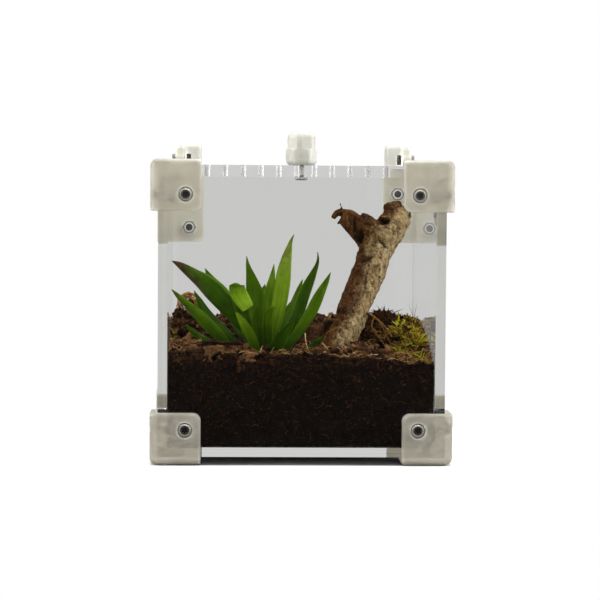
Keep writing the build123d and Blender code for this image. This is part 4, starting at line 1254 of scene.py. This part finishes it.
def make_sky():
    """White to the camera, pale grey behind the acrylic and dark in front of it."""
    world = bpy.data.worlds.new("sky")
    bpy.context.scene.world = world
    world.use_nodes = True
    world.node_tree.nodes.clear()
    s = Nodes(world.node_tree, "Generated")
    path = s.add("ShaderNodeLightPath")
    _, level = past_glass(s, path, s.axes()["Y"], SKY_TURNS_DARK, SKY_ON_OBJECT)
    strength = s.maths("MAXIMUM", path.outputs["Is Camera Ray"], level)
    shade = s.add("ShaderNodeBackground", {"Color": grey(1.0), "Strength": strength})
    s.add("ShaderNodeOutputWorld", {"Surface": shade.outputs[0]})


# Lamps: name, place, the height they are aimed at, side and power
LAMPS = [
    ("left_softbox", (-0.62, -0.10, 0.30), 0.09, 0.45, 5.0),
    ("right_softbox", (0.62, -0.05, 0.34), 0.09, 0.45, 6.5),
    ("top_softbox", (0.0, 0.05, 0.80), 0.08, 0.55, 7.0),
    ("front_fill", (0.15, -1.10, 0.60), 0.09, 0.60, 6.0),
]


def make_lamps():
    """Soft boxes at both sides, above and in front."""
    for name, place, aim, size, power in LAMPS:
        data = bpy.data.lights.new(name, "AREA")
        data.shape = "SQUARE"
        data.size = size
        data.energy = power
        lamp = link(name, data)
        lamp.location = place
        lamp.visible_transmission = False
        lamp.rotation_euler = (Vector((0.0, 0.0, aim)) - Vector(place)).to_track_quat("-Z", "Y").to_euler()


# Dress the CAD nodes

def dress(ending, material):
    """Give the nodes whose names end in this a material and a slot."""
    for name in nodes:
        if name.endswith(ending):
            slots = nodes[name].data.materials
            slots.clear()
            slots.append(material)


def main():
    """Build the whole scene."""
    make_camera()
    make_floor()
    make_sky()
    make_lamps()
    dress("_panel", acrylic("clear_acrylic"))
    dress("lid_panel", acrylic("drilled_acrylic", True))
    dress("_bracket", printed_plastic("printed_plastic", *CORNER_PLASTIC))
    # The back hinge brackets get the painted lighter copy of the corner plastic.
    dress("_hinge_bracket", printed_plastic("back_plastic_painted_lighter", *BACK_PLASTIC_PAINTED_LIGHTER))
    dress(("_leaf", "_knob"), printed_plastic("pale_plastic", *LID_PLASTIC))
    dress("_screws", steel("screw_steel", *SCREW_STEEL))
    dress(("_screw", "_nuts"), steel("nut_steel", *NUT_STEEL))
    make_soil(earth())
    crumbs = crumb("crumbs", *CRUMB_COLOURS)
    make_crumbs("soil_crumbs", *SOIL_CRUMBS, crumbs, SEED + 1)
    make_crumbs("bark_crumbs", *BARK_CRUMBS, crumbs, SEED + 2)
    make_chips(crumb("bark_chips", *CHIP_COLOURS))
    make_fibres(fibre())
    make_branch(bark())
    make_plant(leaf())
    moss_look = moss()
    make_moss("moss_right", MOSS_RIGHT, CLODS_RIGHT, TWIGS, "right_moss", moss_look, SEED + 3)
    make_moss("moss_left", MOSS_LEFT, CLODS_LEFT, [], "left_moss", moss_look, SEED + 4)
    make_root_ring(fibre())
    bpy.context.scene.view_settings.view_transform = "Standard"
    bpy.context.scene.cycles.use_denoising = True


main()
